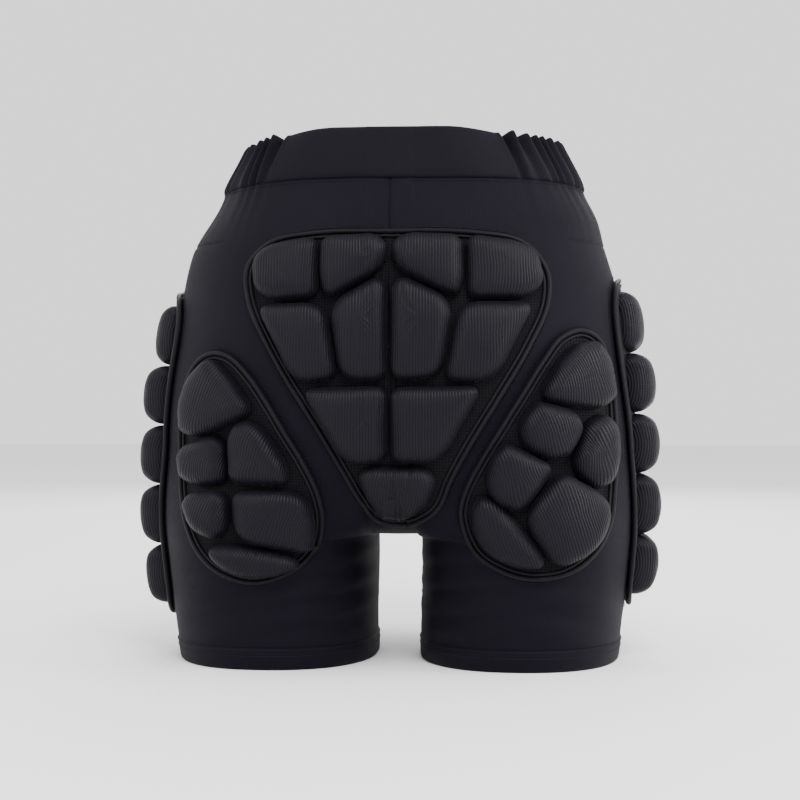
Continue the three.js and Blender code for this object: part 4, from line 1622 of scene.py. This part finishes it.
    def half_rim(self, rim: np.ndarray, sign: int) -> np.ndarray:
        """One lobe of a hip row: the rim's front or back half, with its corners cut.

        Args:
            rim: the row's corners.
            sign: 1 for the front half, -1 for the rear.

        Returns:
            The corners of the lobe.
        """
        low, high = rim.min(0), rim.max(0)
        gap, cut = self.lobe_gap, self.lobe_cut
        inner, outer = sorted((sign * gap, low[0] if sign < 0 else high[0]))
        box = [(inner + cut, low[1]), (outer - cut, low[1]), (outer, low[1] + cut), (outer, high[1] - cut),
               (outer - cut, high[1]), (inner + cut, high[1]), (inner, high[1] - cut), (inner, low[1] + cut)]
        return np.array(box)

    def stitch_routes(self) -> list[np.ndarray]:
        """A row of topstitches on the shell outside the piping, and one between the cords.

        Returns:
            Points along each row.
        """
        outer = self.outline.loop(self.stations)
        routes = []
        for distance, lift in ((-0.0036, 0.0004), (0.0062, self.backing_top + 0.0001)):
            loop = inset(outer, distance)
            loop = np.concatenate([loop, loop[:1]])
            routes.append(self.outline.chart(loop[:, 0], loop[:, 1], np.full(len(loop), lift)))
        return routes

    def attach(self, wardrobe: Wardrobe, puffs: Sequence[bpy.types.Object]) -> None:
        """Dresses and attaches every piece of the pad.

        Args:
            wardrobe: the materials.
            puffs: the finished cells, in the order of self.cells.
        """
        backing = self.backing(wardrobe)
        finish_piece(backing, [f"{self.prefix}_backing"], self.swing)
        size = np.ptp(self.outline.corners, axis=0)
        piping = self.piping(wardrobe)
        finish_piece(piping, [f"{self.prefix}_piping"], self.swing)
        for cell, puff in zip(self.cells, puffs):
            finish_piece(puff, [f"{self.prefix}_foam_{cell}"], self.swing)


@dataclass
class Puffing:
    """Lets the mesh covers of the foam cells swell under light pressure, sewn down round their rims."""

    frames: int = 14
    pressure: float = 6.0
    slack: float = 0.001
    mass: float = 0.0006
    cap: float = 0.0020
    quality: int = 5

    def run(self, cells: Sequence[bpy.types.Object]) -> None:
        """Simulates all the covers together and keeps the result in their meshes.

        Args:
            cells: the covers.
        """
        scene = bpy.context.scene
        for cell in cells:
            cloth = cell.modifiers.new("puff", "CLOTH")
            settings = cloth.settings
            settings.quality = self.quality
            settings.mass = self.mass
            settings.vertex_group_mass = "sewn"
            settings.shrink_min = -self.slack
            settings.use_pressure = True
            settings.uniform_pressure_force = self.pressure
            settings.effector_weights.gravity = 0.0
            cloth.collision_settings.use_collision = False
            cloth.point_cache.frame_start = 1
            cloth.point_cache.frame_end = self.frames
        for number in range(1, self.frames + 1):
            scene.frame_set(number)
        depsgraph = bpy.context.evaluated_depsgraph_get()
        for cell in cells:
            count = len(cell.data.vertices) * 3
            before, after = np.empty(count, np.float32), np.empty(count, np.float32)
            cell.data.vertices.foreach_get("co", before)
            cell.evaluated_get(depsgraph).data.vertices.foreach_get("co", after)
            move = (after - before).reshape(-1, 3)
            size = np.linalg.norm(move, axis=1, keepdims=True)
            LOG.info("%s puffed by up to %.2f mm", cell.name, 1000 * size.max())
            move *= np.minimum(1.0, self.cap / np.maximum(size, 1e-9))
            cell.modifiers.clear()
            cell.data.vertices.foreach_set("co", before + move.ravel())
            cell.data.update()
        scene.frame_set(1)


# ------------------------------------------------------------------ stage
@dataclass
class Studio:
    """A pale floor, soft lights and a level camera behind the shorts."""

    distance: float = 1.30
    azimuth: float = math.radians(4.0)
    height: float = 0.194
    lens: float = 75.97

    def build(self) -> None:
        """Makes the floor, the world, the lights and the camera."""
        self.floor()
        self.lights()
        self.camera()

    def floor(self) -> None:
        """A large pale floor."""
        mesh = bpy.data.meshes.new("floor")
        size = 6.0
        corners = [(-size, -size, 0), (size, -size, 0), (size, size, 0), (-size, size, 0)]
        mesh.from_pydata(corners, [], [(0, 1, 2, 3)])
        floor = bpy.data.objects.new("floor", mesh)
        bpy.context.scene.collection.objects.link(floor)
        material = bpy.data.materials.new("pale_floor")
        material.use_nodes = True
        shader = material.node_tree.nodes["Principled BSDF"]
        shader.inputs["Base Color"].default_value = (0.86, 0.86, 0.87, 1)
        shader.inputs["Roughness"].default_value = 0.9
        shader.inputs["Specular IOR Level"].default_value = 0.1
        mesh.materials.append(material)
        world = bpy.data.worlds.new("studio")
        world.use_nodes = True
        background = world.node_tree.nodes["Background"]
        background.inputs["Color"].default_value = (1.0, 1.0, 1.0, 1)
        background.inputs["Strength"].default_value = 1.5
        bpy.context.scene.world = world

    def lights(self) -> None:
        """A broad light above the camera, one on each side and a rim light behind."""
        plan = (
            ("key", (0.5, -1.5, 1.9), 1.1, 60.0),
            ("left", (-1.8, -0.6, 0.9), 0.9, 17.0),
            ("right", (1.8, -0.2, 0.9), 0.9, 34.0),
            ("rear", (0.0, 1.9, 1.3), 1.4, 30.0),
        )
        aim = Vector((0, 0, 0.22))
        for name, place, size, power in plan:
            light = bpy.data.lights.new(name, "AREA")
            light.energy = power
            light.size = size
            lamp = bpy.data.objects.new(name, light)
            lamp.location = place
            lamp.rotation_euler = (aim - Vector(place)).to_track_quat("-Z", "Y").to_euler()
            bpy.context.scene.collection.objects.link(lamp)

    def camera(self) -> None:
        """A level camera, a little round to the wearer's right."""
        data = bpy.data.cameras.new("camera")
        data.lens = self.lens
        data.sensor_width = 36.0
        camera = bpy.data.objects.new("camera", data)
        shift = FORM.shift
        camera.location = (shift[0] + math.sin(self.azimuth) * self.distance,
                           shift[1] - math.cos(self.azimuth) * self.distance, self.height)
        camera.rotation_euler = (math.radians(90), 0, self.azimuth)
        bpy.context.scene.collection.objects.link(camera)
        bpy.context.scene.camera = camera


class Shorts:
    """The shorts, sub-assembly by sub-assembly."""

    def __init__(self) -> None:
        """Builds the finishes and the stitch tree."""
        self.wardrobe = Wardrobe()
        self.stitching = Stitching()
        self.stitch_tree = self.stitching.tree()

    def shell(self) -> None:
        """Both halves of the shell and both hems."""
        for side in Side:
            word = side.word
            cloth = ShellHalf(side).build(self.wardrobe)
            panels = ("leg_back_panel", "leg_front_panel", "back_yoke", "front_yoke")
            nodes = [f"{word}_{panel}" for panel in panels]
            nodes += ["seat_panel", "gusset_strip"] if side is Side.RIGHT else []
            finish_piece(cloth, nodes, Swing(side))
            hem = Hem(side)
            ring = hem.build(self.wardrobe)
            finish_piece(ring, [f"{word}_leg_hem_band"], Swing(side))
            self.sew(f"{word}_hem_stitches", hem.stitch_routes(), Swing(side))

    def sew(self, name: str, routes: Sequence[np.ndarray], swing: Swing | None) -> None:
        """Sews and attaches rows of stitches."""
        thread = self.wardrobe[THREAD]
        finish_piece(self.stitching.sew(name, routes, self.stitch_tree, thread), [], swing)

    def waistband(self) -> None:
        """The four lengths of casing, their seam and the elastic inside."""
        band = Waistband()
        elastic = band.elastic(self.wardrobe)
        finish_piece(elastic, ["waist_elastic"], None)
        for length in Length:
            piece = band.build(length, self.wardrobe)
            finish_piece(piece, [length.value], None)
        self.sew("waist_seam_stitches", band.seam_routes(), None)

    def pads(self) -> None:
        """The tail pad, both thigh pads and both hip pads."""
        def rear(corners: Sequence[tuple[float, float]]) -> Outline:
            """An outline on the rear."""
            return Outline(FORM.back_chart, 0, corners)
        counts = {"top": 4, "mid": 4, "low": 2}
        tail = [f"{row}_{i + 1}" for row, count in counts.items() for i in range(count)] + ["tip"]
        pads = [FoamPad("tail_pad", tail, rear(TAIL_OUTLINE), Pillow(), None)]
        thighs = {Side.RIGHT: RIGHT_THIGH_OUTLINE, Side.LEFT: LEFT_THIGH_OUTLINE}
        hips = {Side.RIGHT: HipForm(52.0), Side.LEFT: HipForm(43.0)}
        for side in Side:
            six = [str(i + 1) for i in range(6)]
            turn = math.radians(-18 * side.value)
            pads.append(FoamPad(f"{side.word}_thigh_pad", six, rear(thighs[side]), Pillow(rib_turn=turn),
                                Swing(side), shell=side.word))
            rows = [f"row_{i + 1}" for i in range(5)]
            lobe = Pillow(height=0.0178, shoulder=0.0090, power=2.2, crown=0.36, grow=0.0026)
            chart = Outline(FORM.side_chart(side), 1, hips[side].corners())
            pads.append(FoamPad(f"{side.word}_hip_pad", rows, chart, lobe, Swing(side), double_row=True,
                                shell=side.word))
        cells = [pad.puffs(self.wardrobe) for pad in pads]
        Puffing().run([puff for group in cells for puff in group])
        for pad, puffs in zip(pads, cells):
            for puff in puffs:
                smooth = puff.modifiers.new("smooth", "SUBSURF")
                smooth.levels = smooth.render_levels = 1
            pad.attach(self.wardrobe, puffs)
            self.sew(f"{pad.prefix}_stitches", pad.stitch_routes(), pad.swing)


def main() -> None:
    """Builds the scene in order."""
    logging.basicConfig(level=logging.INFO, format="%(name)s: %(message)s")
    Studio().build()
    shorts = Shorts()
    shorts.shell()
    shorts.waistband()
    shorts.pads()


if __name__ == "__main__":
    main()
